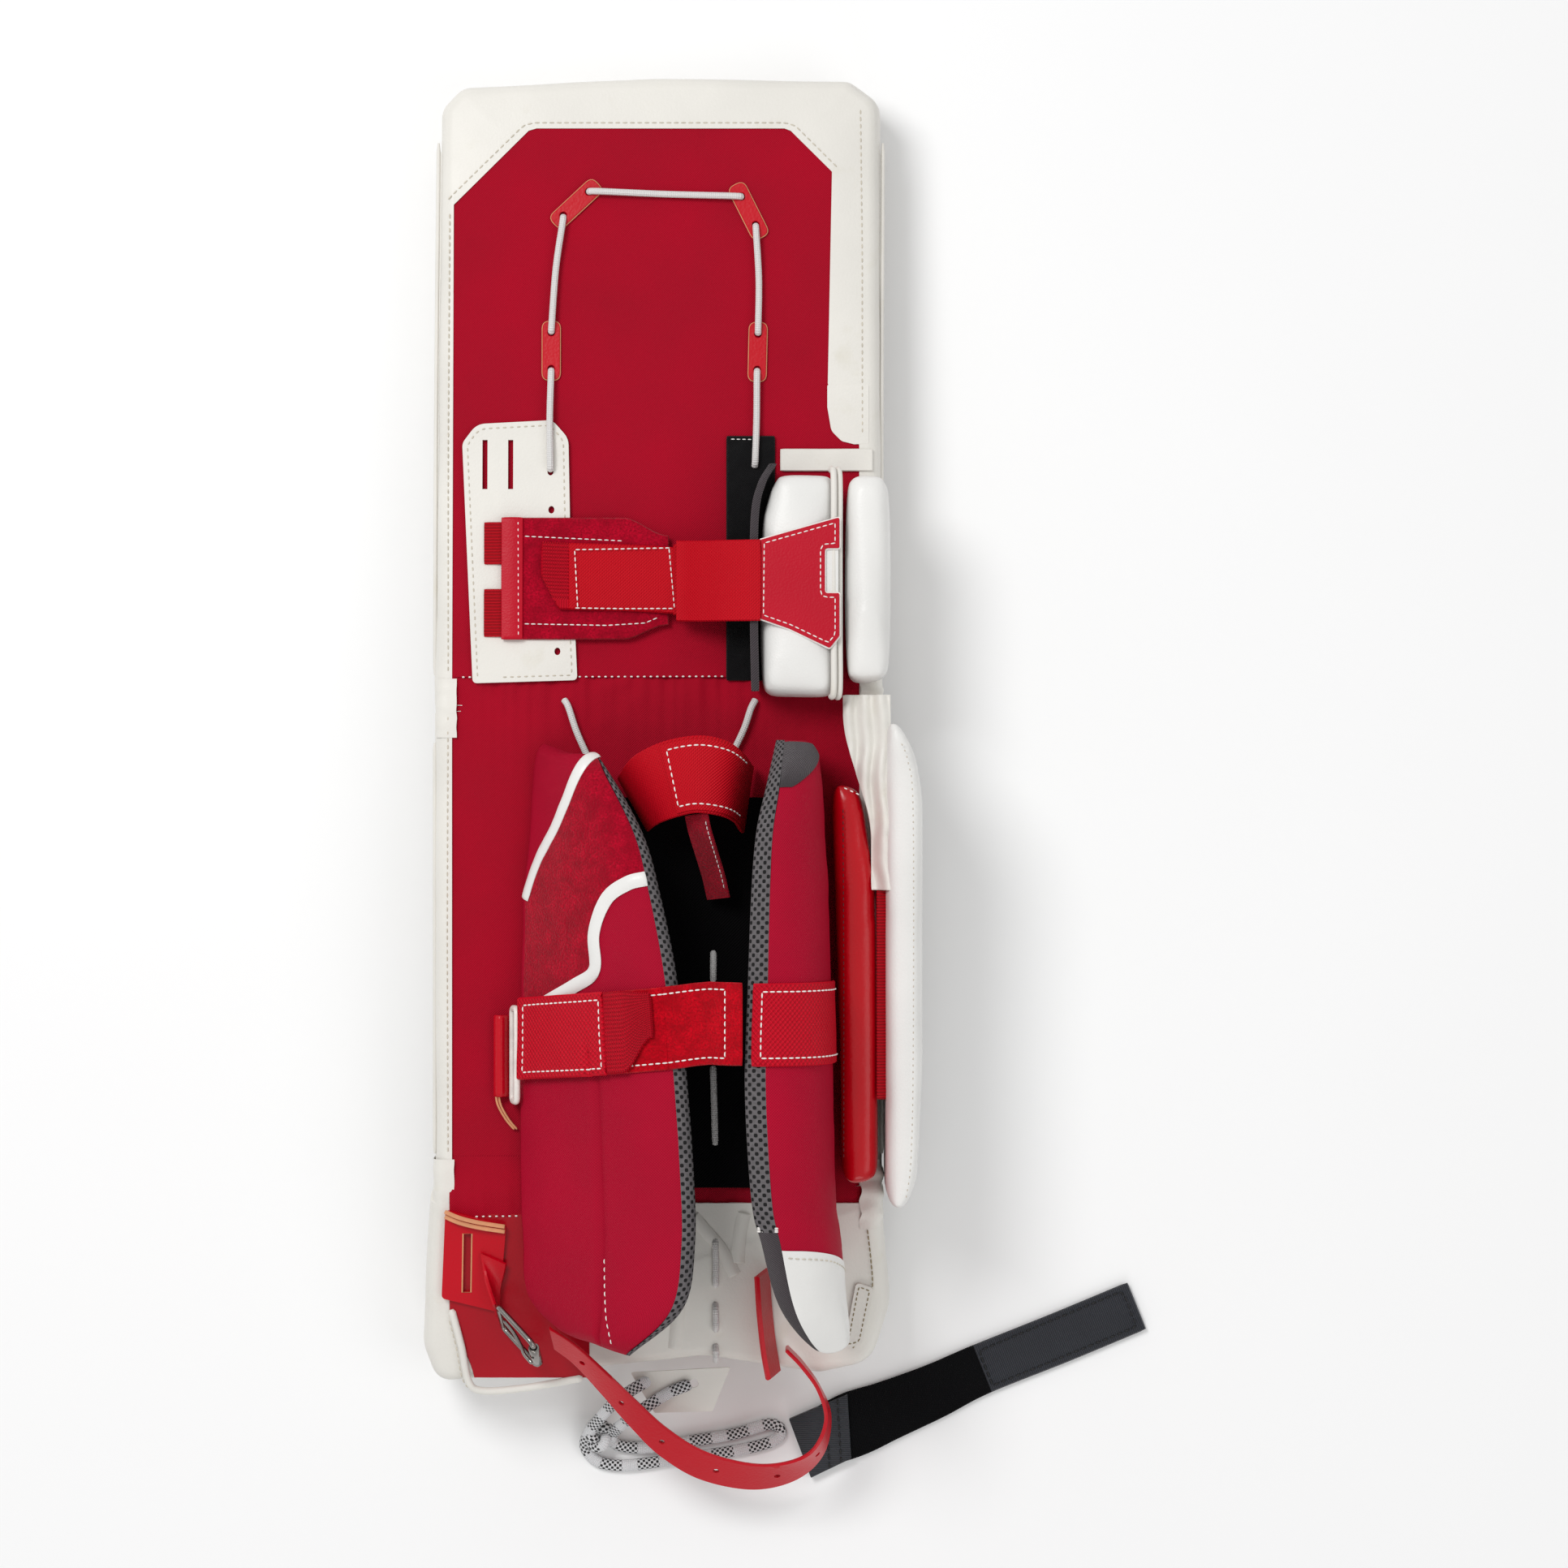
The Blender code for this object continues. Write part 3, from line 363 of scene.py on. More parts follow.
def braided(name, first, second, slot="white_lace", flecks=False):
    shader = Shader(name, 0.7, Sheen_Weight=0.2)
    u, v = shader.across()
    left = shader.wave(shader.math("ADD", u, v), 2.4)
    right = shader.wave(shader.math("SUBTRACT", u, v), 2.4)
    braid = shader.math("MULTIPLY", left, right)
    base = shader.mix(shader.ramp(braid, -1, 1), shaded(first, 0.74), first)
    if flecks:
        # Blocks of dark checks, with plain lace between them
        blocks = shader.ramp(shader.wave(v, 24.0), -0.35, -0.25)
        checks = shader.math("MULTIPLY", shader.wave(u, 3.6), shader.wave(v, 3.4))
        dark = shader.math("MULTIPLY", shader.ramp(checks, 0.0, 0.12), blocks)
        base = shader.mix(dark, base, second)
    shader.colour(base)
    shader.bump(braid, 0.22)
    keep(name, slot, shader)


def plain(name, colour, slot, rough, metallic=0.0, **own):
    shader = Shader(name, rough, metallic, **own)
    wear = shader.noise(7, 6)
    share = shader.ramp(wear, 0.3, 0.75)
    shader.colour(shader.mix(share, shaded(colour, 0.86), shaded(colour, 1.08)))
    shader.rough(wear, max(rough - 0.06, 0.05), rough + 0.1)
    shader.bump(shader.noise(1.6, 4), 0.04)
    keep(name, slot, shader)


nylon("nylon", CRIMSON, 1.5)
nylon("nylon_wing", srgb(184, 4, 46), 1.7)
brushed("brushed", srgb(186, 4, 40))
brushed("brushed_strap", RED, "red_webbing")
webbing("webbing_ball", srgb(214, 2, 36), "red_webbing", "ball")
webbing("webbing_wales", srgb(206, 2, 34), "red_webbing", "wales")
webbing("webbing_ribs", srgb(186, 2, 24), "red_webbing", "ribs")
webbing("elastic", RED, "red_webbing", "twill")
leather("white_leather", WHITE, "white_leather", 0.44, 1.5, 0.05, srgb(206, 200, 178))
leather("white_block", srgb(232, 231, 228), "white_leather", 0.36, 1.2, 0.12)
leather("red_leather", srgb(192, 0, 26), "red_leather", 0.34, 1.6, 0.15)
leather("boot_red", srgb(168, 0, 24), "red_leather", 0.3, 2.0, 0.25)
leather("red_gloss", srgb(184, 0, 18), "red_leather", 0.24, 2.2, 0.35)
leather("red_tab", srgb(186, 0, 34), "red_leather", 0.42, 1.2)
spacer_mesh()
dark_cloth("lining", "gray_mesh", srgb(52, 46, 49), srgb(86, 78, 82), 1.6)
dark_cloth("channel", "black_fabric", srgb(4, 3, 4), srgb(12, 10, 12), 2.0, 0.95, 0.0)
dark_cloth("black_elastic", "black_fabric", srgb(6, 6, 7), srgb(20, 20, 22), 1.4, 0.9, 0.0)
dark_cloth("fuzzy_black", "black_fabric", srgb(4, 4, 5), srgb(20, 19, 21), 1.1, 0.98, 0.1)
ridged_hook()
braided("lace", srgb(236, 234, 232), srgb(20, 20, 20))
braided("lace_flecked", srgb(230, 230, 232), srgb(14, 14, 15), flecks=True)
plain("thread_white", srgb(244, 240, 236), "white_lace", 0.6)
plain("thread_cream", srgb(206, 198, 182), "white_lace", 0.7)
plain("thread_tan", srgb(150, 138, 108), "white_lace", 0.7)
plain("thread_black", srgb(10, 10, 12), "black_fabric", 0.5)
plain("thread_red", srgb(96, 0, 10), "red_webbing", 0.6)
plain("tan_edge", srgb(214, 150, 108), "red_leather", 0.8)
plain("plastic", srgb(236, 230, 224), "white_plastic", 0.28)
plain("chrome", srgb(150, 146, 142), "dark_chrome", 0.2, 1.0)
plain("foam_block", srgb(148, 150, 154), "foam", 0.95)
plain("stiffener", srgb(48, 48, 52), "stiffener_plastic", 0.5)


# ---------------------------------------------------------------- mesh building
def box_uv(verts, face):
    """Flat coordinates for a face, from the two directions that it faces least."""
    corners = [Vector(verts[i]) for i in face[:3]]
    facing = (corners[1] - corners[0]).cross(corners[2] - corners[0])
    depth = max(range(3), key=lambda axis: abs(facing[axis]))
    first, second = [(1, 2), (0, 2), (0, 1)][depth]
    return [(verts[i][first], verts[i][second]) for i in face]


def link_piece(name, mesh, body, finish, replaces=()):
    material, slot = FINISHES[finish]
    mesh.materials.append(material)
    obj = bpy.data.objects.new(name, mesh)
    bpy.context.scene.collection.objects.link(obj)
    if body:
        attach(obj, body)
    if replaces:
        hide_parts(*replaces)
    return obj


def make(name, verts, faces, body, finish, uvs=None, section=None, replaces=(), sharp=55):
    """A piece from points in a flat layout, with its cloth coordinates in millimetres."""
    verts = np.asarray(verts, float).reshape(-1, 3)
    place = np.array(PLACES[section or SECTIONS[body]])
    world_verts = verts @ place[:3, :3].T + place[:3, 3]
    mesh = bpy.data.meshes.new(name)
    mesh.from_pydata(world_verts.tolist(), [], [list(face) for face in faces])
    layer = mesh.uv_layers.new(name=UV_NAME)
    flat = []
    for k, face in enumerate(faces):
        flat.extend(uvs[k] if uvs is not None else box_uv(verts, face))
    layer.data.foreach_set("uv", np.asarray(flat, np.float32).ravel())
    mesh.validate()
    mesh.shade_smooth()
    mesh.set_sharp_from_angle(angle=math.radians(sharp))
    return link_piece(name, mesh, body, finish, replaces)


def through(points, count):
    """Points on a smooth curve, or smooth surface rows, through the given ones."""
    p = np.asarray(points, float)
    p = np.concatenate([2 * p[:1] - p[1:2], p, 2 * p[-1:] - p[-2:-1]])
    t = np.linspace(0, len(p) - 3, count)
    i = np.minimum(t.astype(int), len(p) - 4)
    f = (t - i).reshape(-1, *[1] * (p.ndim - 1))
    a, b, c, d = p[i], p[i + 1], p[i + 2], p[i + 3]
    return (b * 2 + (c - a) * f + (a * 2 - b * 5 + c * 4 - d) * f ** 2
            + (b * 3 - a - c * 3 + d) * f ** 3) / 2


def lengths(points):
    steps = np.linalg.norm(np.diff(points, axis=0), axis=1)
    return np.concatenate([[0.0], np.cumsum(steps)])


def even(points, count):
    """The same line with its points spread evenly along it."""
    points = np.asarray(points, float)
    along = lengths(points)
    at = np.linspace(0, along[-1], count)
    return np.stack([np.interp(at, along, points[:, k]) for k in range(points.shape[1])], 1)


def refine(grid, rows, cols):
    fine = through(grid, rows)
    return np.swapaxes(through(np.swapaxes(fine, 0, 1), cols), 0, 1)


def grid_normals(grid):
    across = np.gradient(grid, axis=1)
    along = np.gradient(grid, axis=0)
    normal = np.cross(across, along)
    return normal / np.maximum(np.linalg.norm(normal, axis=2, keepdims=True), 1e-9)


def grid_uv(grid):
    """How far each point lies across and along the cloth."""
    middle_row, middle_col = grid[len(grid) // 2], grid[:, grid.shape[1] // 2]
    u, v = lengths(middle_row), lengths(middle_col)
    return np.stack(np.meshgrid(u, v), axis=2)


def grid_faces(rows, cols, start=0, wrap=False):
    faces = []
    for i in range(rows - 1):
        for j in range(cols if wrap else cols - 1):
            n = (j + 1) % cols
            faces.append((start + i * cols + j, start + i * cols + n,
                          start + (i + 1) * cols + n, start + (i + 1) * cols + j))
    return faces


def open_sheet(name, grid, body, finish, **more):
    """A surface without thickness, for cloth whose edges are sewn under."""
    rows, cols = grid.shape[:2]
    faces = grid_faces(rows, cols)
    uv = grid_uv(grid).reshape(-1, 2)
    uvs = [[tuple(uv[i]) for i in face] for face in faces]
    return make(name, grid.reshape(-1, 3), faces, body, finish, uvs, **more)


def strap(name, grid, body, finish, low=-1.0, high=1.0, **more):
    """A sheet of real thickness that follows a grid, with a rounded rim."""
    rows, cols = grid.shape[:2]
    normal = grid_normals(grid)
    top, bottom = grid + normal * high, grid + normal * low
    rim = [(0, j) for j in range(cols)]
    rim += [(i, cols - 1) for i in range(1, rows)]
    rim += [(rows - 1, j) for j in range(cols - 2, -1, -1)]
    rim += [(i, 0) for i in range(rows - 2, 0, -1)]
    centre = grid.mean(axis=(0, 1))
    edge = []
    for i, j in rim:
        inner = grid[min(max(i, 1), rows - 2), min(max(j, 1), cols - 2)]
        out = grid[i, j] - (inner if rows > 2 and cols > 2 else centre)
        out = out / max(np.linalg.norm(out), 1e-9)
        edge.append((top[i, j] + bottom[i, j]) / 2 + out * (high - low) * 0.35)
    verts = np.concatenate([top.reshape(-1, 3), bottom.reshape(-1, 3), np.array(edge)])
    faces = grid_faces(rows, cols) + [f[::-1] for f in grid_faces(rows, cols, rows * cols)]
    uv = grid_uv(grid).reshape(-1, 2)
    uv = np.concatenate([uv, uv, [uv[i * cols + j] for i, j in rim]])
    first_edge = 2 * rows * cols
    for k, (i, j) in enumerate(rim):
        n = (k + 1) % len(rim)
        ni, nj = rim[n]
        upper, upper_next = i * cols + j, ni * cols + nj
        edge_here, edge_next = first_edge + k, first_edge + n
        shift = rows * cols
        faces.append((upper, edge_here, edge_next, upper_next))
        faces.append((edge_here, upper + shift, upper_next + shift, edge_next))
    uvs = [[tuple(uv[i]) for i in face] for face in faces]
    return make(name, verts, faces, body, finish, uvs, **more)


def frames_along(line, closed=False):
    """Directions across a line that turn no more than they must."""
    if closed:
        tangent = np.roll(line, -1, 0) - np.roll(line, 1, 0)
    else:
        tangent = np.gradient(line, axis=0)
    tangent /= np.maximum(np.linalg.norm(tangent, axis=1, keepdims=True), 1e-9)
    start = Vector(tangent[0]).orthogonal().normalized()
    sides = [np.array(start)]
    for t in tangent[1:]:
        side = sides[-1] - t * np.dot(sides[-1], t)
        sides.append(side / np.linalg.norm(side))
    sides = np.array(sides)
    return tangent, sides, np.cross(tangent, sides)


def tube(name, line, radius, body, finish, sides=10, closed=False, flatten=None, **more):
    """A round or oval bar, cord or piping along a line; flatten is (half width, half height)."""
    line = np.asarray(line, float)
    tangent, side, other = frames_along(line, closed)
    if flatten:
        up = np.array([0.0, 0.0, 1.0])
        side = np.cross(np.broadcast_to(up, tangent.shape), tangent)
        side /= np.maximum(np.linalg.norm(side, axis=1, keepdims=True), 1e-6)
        other = np.cross(tangent, side)
    wide, tall = flatten or (radius, radius)
    angle = np.linspace(0, FULL_TURN, sides, endpoint=False)
    ring = (side[:, None] * (np.cos(angle) * wide)[None, :, None]
            + other[:, None] * (np.sin(angle) * tall)[None, :, None])
    if not closed:
        swell = np.ones(len(line))
        swell[0] = swell[-1] = 0.55
        ring *= swell[:, None, None]
    verts = (line[:, None] + ring).reshape(-1, 3)
    count = len(line)
    along = lengths(line)
    faces, uvs = [], []
    girth = FULL_TURN * max(wide, tall)
    last = count if closed else count - 1
    for i in range(last):
        n = (i + 1) % count
        v0, v1 = along[i], along[i] + np.linalg.norm(line[n] - line[i])
        for k in range(sides):
            m = (k + 1) % sides
            faces.append((i * sides + k, i * sides + m, n * sides + m, n * sides + k))
            u0, u1 = girth * k / sides, girth * (k + 1) / sides
            uvs.append([(u0, v0), (u1, v0), (u1, v1), (u0, v1)])
    if not closed:
        for ring_start in (0, (count - 1) * sides):
            cap = tuple(range(ring_start, ring_start + sides))
            faces.append(cap if ring_start else cap[::-1])
            uvs.append([(0.0, 0.0)] * sides)
    return make(name, verts, faces, body, finish, uvs, **more)


STITCH_RINGS = ((-0.5, 0.35, -0.5), (-0.3, 0.9, 0.15), (0.0, 1.0, 0.4), (0.3, 0.9, 0.15),
                (0.5, 0.35, -0.5))
STITCH_SIDES = 6


def stitches(name, runs, body, finish="thread_white", pitch=4.2, long=3.0, thick=0.42, **more):
    """Rows of thread; each run is a line and the direction that its surface faces."""
    verts, faces = [], []
    for line, facing in runs:
        line = np.asarray(line, float)
        facing = np.broadcast_to(np.asarray(facing, float), line.shape)
        along = lengths(line)
        count = max(1, int(along[-1] / pitch))
        for n in range(count):
            middle = (n + 0.5) * along[-1] / count
            ends = np.clip([middle - long / 2, middle + long / 2], 0, along[-1])
            a, b = [np.array([np.interp(e, along, line[:, k]) for k in range(3)]) for e in ends]
            up = np.array([np.interp(middle, along, facing[:, k]) for k in range(3)])
            way = b - a
            way /= max(np.linalg.norm(way), 1e-9)
            up = up - way * np.dot(up, way)
            up /= max(np.linalg.norm(up), 1e-9)
            side = np.cross(way, up)
            centre, start = (a + b) / 2, len(verts)
            for shift, swell, lift in STITCH_RINGS:
                ring_centre = centre + way * shift * long + up * lift * thick
                for k in range(STITCH_SIDES):
                    turn = FULL_TURN * k / STITCH_SIDES
                    arm = side * math.cos(turn) + up * math.sin(turn) * 0.8
                    verts.append(ring_centre + arm * thick * swell)
            rings = len(STITCH_RINGS)
            faces.extend(grid_faces(rings, STITCH_SIDES, start, wrap=True))
            faces.append(tuple(range(start + STITCH_SIDES - 1, start - 1, -1)))
            end = start + (rings - 1) * STITCH_SIDES
            faces.append(tuple(range(end, end + STITCH_SIDES)))
    return make(name, verts, faces, body, finish, sharp=80, **more)


UP = (0.0, 0.0, 1.0)


def circle(x, y, radius_x, radius_y, count):
    turns = [FULL_TURN * k / count for k in range(count)]
    return [(x + radius_x * math.cos(t), y + radius_y * math.sin(t)) for t in turns]


def flat_run(points, z, closed=False):
    line = [(x, y, z) for x, y in points]
    if closed:
        line.append(line[0])
    return np.array(line, float), UP


def inset(corners, distance):
    """Moves the sides of an anticlockwise outline of (x, y, radius) inwards.

    distance is one number, or one for each side, the first from corner 0 to corner 1.
    """
    count = len(corners)
    each = [distance] * count if np.isscalar(distance) else list(distance)
    moved = []
    for i, (x, y, radius) in enumerate(corners):
        here = Vector((x, y))
        before = (here - Vector(corners[i - 1][:2])).normalized()
        after = (Vector(corners[(i + 1) % count][:2]) - here).normalized()
        first, second = each[i - 1], each[i]
        turn = before.cross(after)
        normal_a, normal_b = Vector((-before.y, before.x)), Vector((-after.y, after.x))
        if abs(turn) < 1e-3:
            point = here + normal_b * second
        else:
            a, b = here + normal_a * first, here + normal_b * second
            point = a + before * ((b - a).cross(after) / turn)
        way = 1 if turn >= 0 else -1
        moved.append((point.x, point.y, max(radius - way * min(first, second), 0.3)))
    return moved


def rounded(corners, arc=6, run=1):
    """An outline with round corners; run is the number of steps in each straight side."""
    bends = []
    for i, (x, y, radius) in enumerate(corners):
        here = Vector((x, y))
        before = Vector(corners[i - 1][:2]) - here
        after = Vector(corners[(i + 1) % len(corners)][:2]) - here
        half = before.angle(after) / 2
        reach = radius / math.tan(half) if half < math.pi / 2 - 1e-4 else 0.05
        reach = min(max(reach, 0.05), 0.48 * before.length, 0.48 * after.length)
        start = here + before.normalized() * reach
        end = here + after.normalized() * reach
        bends.append([start * (1 - t) ** 2 + here * 2 * t * (1 - t) + end * t * t
                      for t in np.linspace(0, 1, arc + 1)])
    points = []
    for i, bend in enumerate(bends):
        points.extend(bend)
        start = bends[(i + 1) % len(bends)][0]
        points.extend(bend[-1].lerp(start, k / run) for k in range(1, run))
    return [tuple(p) for p in points]


def loft(name, rings, body, finish, cap_low=True, cap_high=True, **more):
    rings = np.asarray(rings, float)
    rows, cols = rings.shape[:2]
    faces = grid_faces(rows, cols, wrap=True)
    if cap_low:
        faces.append(tuple(range(cols - 1, -1, -1)))
    if cap_high:
        faces.append(tuple(range((rows - 1) * cols, rows * cols)))
    return make(name, rings.reshape(-1, 3), faces, body, finish, **more)


def plate(name, outline, low, high, body, finish, holes=(), edge=0.5, shape=None, **more):
    """A flat plate with softened edges; shape may bend it, point by point."""
    work = bmesh.new()
    for loop in [outline, *holes]:
        ring = [work.verts.new((x, y, low)) for x, y in loop]
        for k in range(len(ring)):
            work.edges.new((ring[k], ring[(k + 1) % len(ring)]))
    bmesh.ops.triangle_fill(work, use_beauty=True, edges=work.edges[:])
    grown = bmesh.ops.extrude_face_region(work, geom=work.faces[:])
    top = [v for v in grown["geom"] if isinstance(v, bmesh.types.BMVert)]
    bmesh.ops.translate(work, verts=top, vec=(0, 0, high - low))
    bmesh.ops.recalc_face_normals(work, faces=work.faces)
    if shape:
        for vert in work.verts:
            vert.co = shape(vert.co)
    work.verts.index_update()
    verts = [tuple(v.co) for v in work.verts]
    faces = [tuple(v.index for v in f.verts) for f in work.faces]
    work.free()
    obj = make(name, verts, faces, body, finish, sharp=40, **more)
    soften = obj.modifiers.new("soften", "BEVEL")
    soften.width = edge * MM
    soften.segments = 2
    soften.limit_method = "ANGLE"
    soften.angle_limit = math.radians(50)
    return obj


def wobble(x, y, z, size, seed=0.0):
    return noise.noise(Vector((x / size, y / size, z / size + seed)))


def smoothstep(value, low, high):
    share = np.clip((value - low) / (high - low), 0, 1)
    return share * share * (3 - 2 * share)


# ---------------------------------------------------------------- pad shells
THIGH_OUTLINE = [
    (PAD_LEFT, KNEE_BREAK + BREAK_CLEARANCE, 1), (PAD_RIGHT, KNEE_BREAK + BREAK_CLEARANCE, 1),
    (PAD_RIGHT - 1, THIGH_END - 16, 14), (122, THIGH_END - 2, 12), (0, THIGH_END, 40),
    (-122, THIGH_END - 6, 14), (PAD_LEFT + 3, THIGH_END - 20, 12),
]
SHIN_OUTLINE = [
    (PAD_LEFT, BOOT_BREAK + BREAK_CLEARANCE, 1), (PAD_RIGHT, BOOT_BREAK + BREAK_CLEARANCE, 1),
    (PAD_RIGHT, KNEE_BREAK - BREAK_CLEARANCE, 1), (PAD_LEFT, KNEE_BREAK - BREAK_CLEARANCE, 1),
]
BOOT_OUTLINE = [
    (PAD_LEFT - 3, BOOT_BREAK - BREAK_CLEARANCE, 1), (-147, -378, 20), (-138, -402, 14),
    (-45, -394, 40), (30, -385, 40), (103, -396, 20), (136, -389, 22), (147, -352, 30),
    (143, -306, 8), (PAD_RIGHT, BOOT_BREAK - BREAK_CLEARANCE, 1),
]
SHELL_LEVELS = [
    (30, 0.25), (11, 0.0), (5.2, 0.7), (2.2, 2.9), (0.6, 7.0), (-0.5, 15), (-1.0, 27),
    (-0.6, 39), (0.3, 46.5), (2.0, 51.4), (4.8, 54.2), (8.2, SHELL_Z),
]


def nearest_on(outline, x, y):
    """The nearest place to a point on a closed outline."""
    here, best = Vector((x, y)), None
    for k, a in enumerate(outline):
        a, b = Vector(a), Vector(outline[(k + 1) % len(outline)])
        side = b - a
        share = min(max((here - a).dot(side) / max(side.length_squared, 1e-9), 0), 1)
        spot = a + side * share
        if best is None or (spot - here).length < (best - here).length:
            best = spot
    return best


def pad_shell(name, outline, break_sides, inner, replaces):
    """A stitched leather cover; break_sides are its outline's sides that meet a break."""
    rings = []
    for distance, z in SHELL_LEVELS:
        each = [0 if k in break_sides else distance for k in range(len(outline))]
        ring = []
        for x, y in rounded(inset(outline, each), 6, 26):
            ends = (outline[k][1] for k in break_sides)
            free = min((min(abs(y - end) / 14, 1) for end in ends), default=1)
            push = 1.1 * free * wobble(x, y, z, 55) * (1 if z > 3 else 0)
            out = Vector((x, y - outline[break_sides[0]][1] * 0.9, 0)).normalized()
            at_break = any(abs(y - outline[k][1]) < 1.0 for k in break_sides)
            hidden = inner and at_break and PANEL_LEFT < x < PANEL_RIGHT
            low = min(z, UNDER_PANEL_Z) if hidden else z
            ring.append((x + out.x * push, y + out.y * push * 0.6, low))
        rings.append(ring)
    if inner:
        top = rings[len(SHELL_LEVELS) - 1]
        for z in (SHELL_Z, SHELL_Z - 1.0, UNDER_PANEL_Z):
            lip = [nearest_on(inner, x, y) for x, y, _ in top]
            rings.append([(p.x, p.y, min(z, at[2])) for p, at in zip(lip, top)])
    shell = loft(f"{name}_shell", rings, name, "white_leather", cap_high=not inner,
                 replaces=replaces, sharp=70)


UNDER_PANEL_Z = 52.4
THIGH_INNER = [
    (PANEL_LEFT, KNEE_BREAK), (PANEL_RIGHT, KNEE_BREAK), (PANEL_RIGHT, 179), (124, 179.5),
    (116, 182.5), (111, 188), (108, 202), (111, 352), (85, 378), (81, 379.5), (-75, 379.5),
    (-80, 378), (PANEL_LEFT, 331),
]
SHIN_INNER = [
    (PANEL_LEFT, BOOT_BREAK), (PANEL_RIGHT, BOOT_BREAK), (PANEL_RIGHT, KNEE_BREAK),
    (PANEL_LEFT, KNEE_BREAK),
]
pad_shell("thigh", THIGH_OUTLINE, (0,), THIGH_INNER, ["thigh_cover", "thigh_facing"])
pad_shell("shin", SHIN_OUTLINE, (0, 2), SHIN_INNER, ["shin_cover"])
pad_shell("boot", BOOT_OUTLINE, (9,), None, ["boot_cover", "boot_back_panel"])


def bent(grid, hinge_y, degrees, low, high):
    """Turns flat cloth about a break, more and more from low to high along Y."""
    share = smoothstep(grid[..., 1], low, high)
    angle = np.radians(degrees) * share
    y, z = grid[..., 1] - hinge_y, grid[..., 2]
    result = grid.copy()
    result[..., 1] = hinge_y + y * np.cos(angle) - z * np.sin(angle)
    result[..., 2] = y * np.sin(angle) + z * np.cos(angle)
    return result


def blended(obj):
    """Frees a piece from its body and bakes its place into its mesh."""
    world_matrix = obj.matrix_world.copy()
    obj.parent = None
    obj.matrix_world = world_matrix
    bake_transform(obj)


def field(x_range, y_range, cols, rows, height):
    """A grid over a rectangle, its heights from a function."""
    xs = np.linspace(*x_range, cols)
    ys = np.linspace(*y_range, rows)
    return np.array([[(x, y, height(x, y)) for x in xs] for y in ys])


def thigh_cloth(x, y):
    sag = 0.5 * wobble(x, y, 0, 60) + 0.22 * wobble(x, y, 9, 17)
    return PANEL_Z + sag + 0.5 * math.exp(-((y - KNEE_SEAM_Y - 3) / 5) ** 2)


open_sheet("thigh_panel", field(PANEL_SIDES, (389, KNEE_SEAM_Y), 90, 122, thigh_cloth),
           "thigh", "nylon", replaces=["thigh_back_panel"])

PLEAT_REACH = 26.0


def pleated(x, from_seam, seed):
    """The height of the gathers that run away from a seam."""
    fade = math.exp(-max(from_seam - 2, 0) / PLEAT_REACH)
    folds = wobble(x, 0, seed, 5.2) + 0.7 * wobble(x, from_seam, seed + 4, 11)
    return 1.9 * fade * folds


def shin_cloth(x, y):
    seam = KNEE_SEAM_Y - y
    under = -1.0 if seam < 0 else 0.0
    lower = pleated(x, y - BOOT_BREAK + 6, 7) * 0.4 if y < -200 else 0.0
    return PANEL_Z - 0.7 + under + pleated(x, abs(seam), 2) + lower + 0.5 * wobble(x, y, 3, 50)


shin_grid = field(PANEL_SIDES, (KNEE_SEAM_Y + 4, -268), 150, 130, shin_cloth)
shin_grid = bent(shin_grid, KNEE_BREAK, KNEE_TURN, -5, KNEE_SEAM_Y)
shin_panel = open_sheet("shin_panel", shin_grid, "shin", "nylon", replaces=["shin_back_panel"])
blended(shin_panel)


def boot_gather(x, y):
    over = 2.6 * smoothstep(-y, 268, 283) * (1 - smoothstep(x, -58, -46))
    return PANEL_Z - 0.6 + over + pleated(x, y - BOOT_SEAM_Y, 7) * 0.5


gather_grid = field(PANEL_SIDES, (-264, BOOT_SEAM_Y), 150, 16, boot_gather)
gather_grid = bent(gather_grid, BOOT_BREAK, BOOT_TURN, -266, BOOT_SEAM_Y)
gather = open_sheet("boot_break_cloth", gather_grid, "shin", "nylon")
blended(gather)


BAND_HALF = 17.0
BAND_CORE = np.array([120.0, 1.0, 24.0])


def break_band(name, hinge_y, degrees, way, left, seed):
    """Crumpled leather that wraps the pad's sides and front across a break.

    way is 1 where the section above the break turns, and -1 where the one below does.
    """
    path = [(left + 14, SHELL_Z + 0.3), (left + 5, SHELL_Z - 0.4), (left + 0.8, 49), (left, 27),
            (left + 1.2, 6), (left + 9, -0.3), (-40, -0.5), (50, -0.5), (PAD_RIGHT - 9, -0.3),
            (PAD_RIGHT - 1.2, 6), (PAD_RIGHT, 27), (PAD_RIGHT - 0.8, 49),
            (PAD_RIGHT - 5, SHELL_Z - 0.4), (PAD_RIGHT - 14, SHELL_Z + 0.3)]
    path = even(through([(x, 0.0, z) for x, z in path], 240), 150)
    middle = np.array([0.0, 0.0, 27.0])
    rows = []
    for step in np.linspace(BAND_HALF, -BAND_HALF, 25):
        row = []
        for x, _, z in path:
            out = np.array([x, 0, z]) - middle
            out = np.sign(out) * (np.abs(out) > BAND_CORE)
            out = out / max(np.linalg.norm(out), 1)
            fade = 1 - (step / BAND_HALF) ** 4
            fold = 0.8 + 1.0 * math.cos(step * 0.62 + 2.2 * wobble(x, 0, z, 22, seed))
            crumple = 1.3 * wobble(x, step * 2.5, z, 9, seed)
            front = 0.3 if z < 2 else 0.22 if x < 0 else 1.0
            row.append(np.array([x, hinge_y + step, z]) + out * fade * front * (fold + crumple))
        rows.append(row)
    grid = bent(np.array(rows), hinge_y, degrees, hinge_y - BAND_HALF * way,
                hinge_y + BAND_HALF * way)
    return open_sheet(name, grid, "shin", "white_leather", sharp=75)


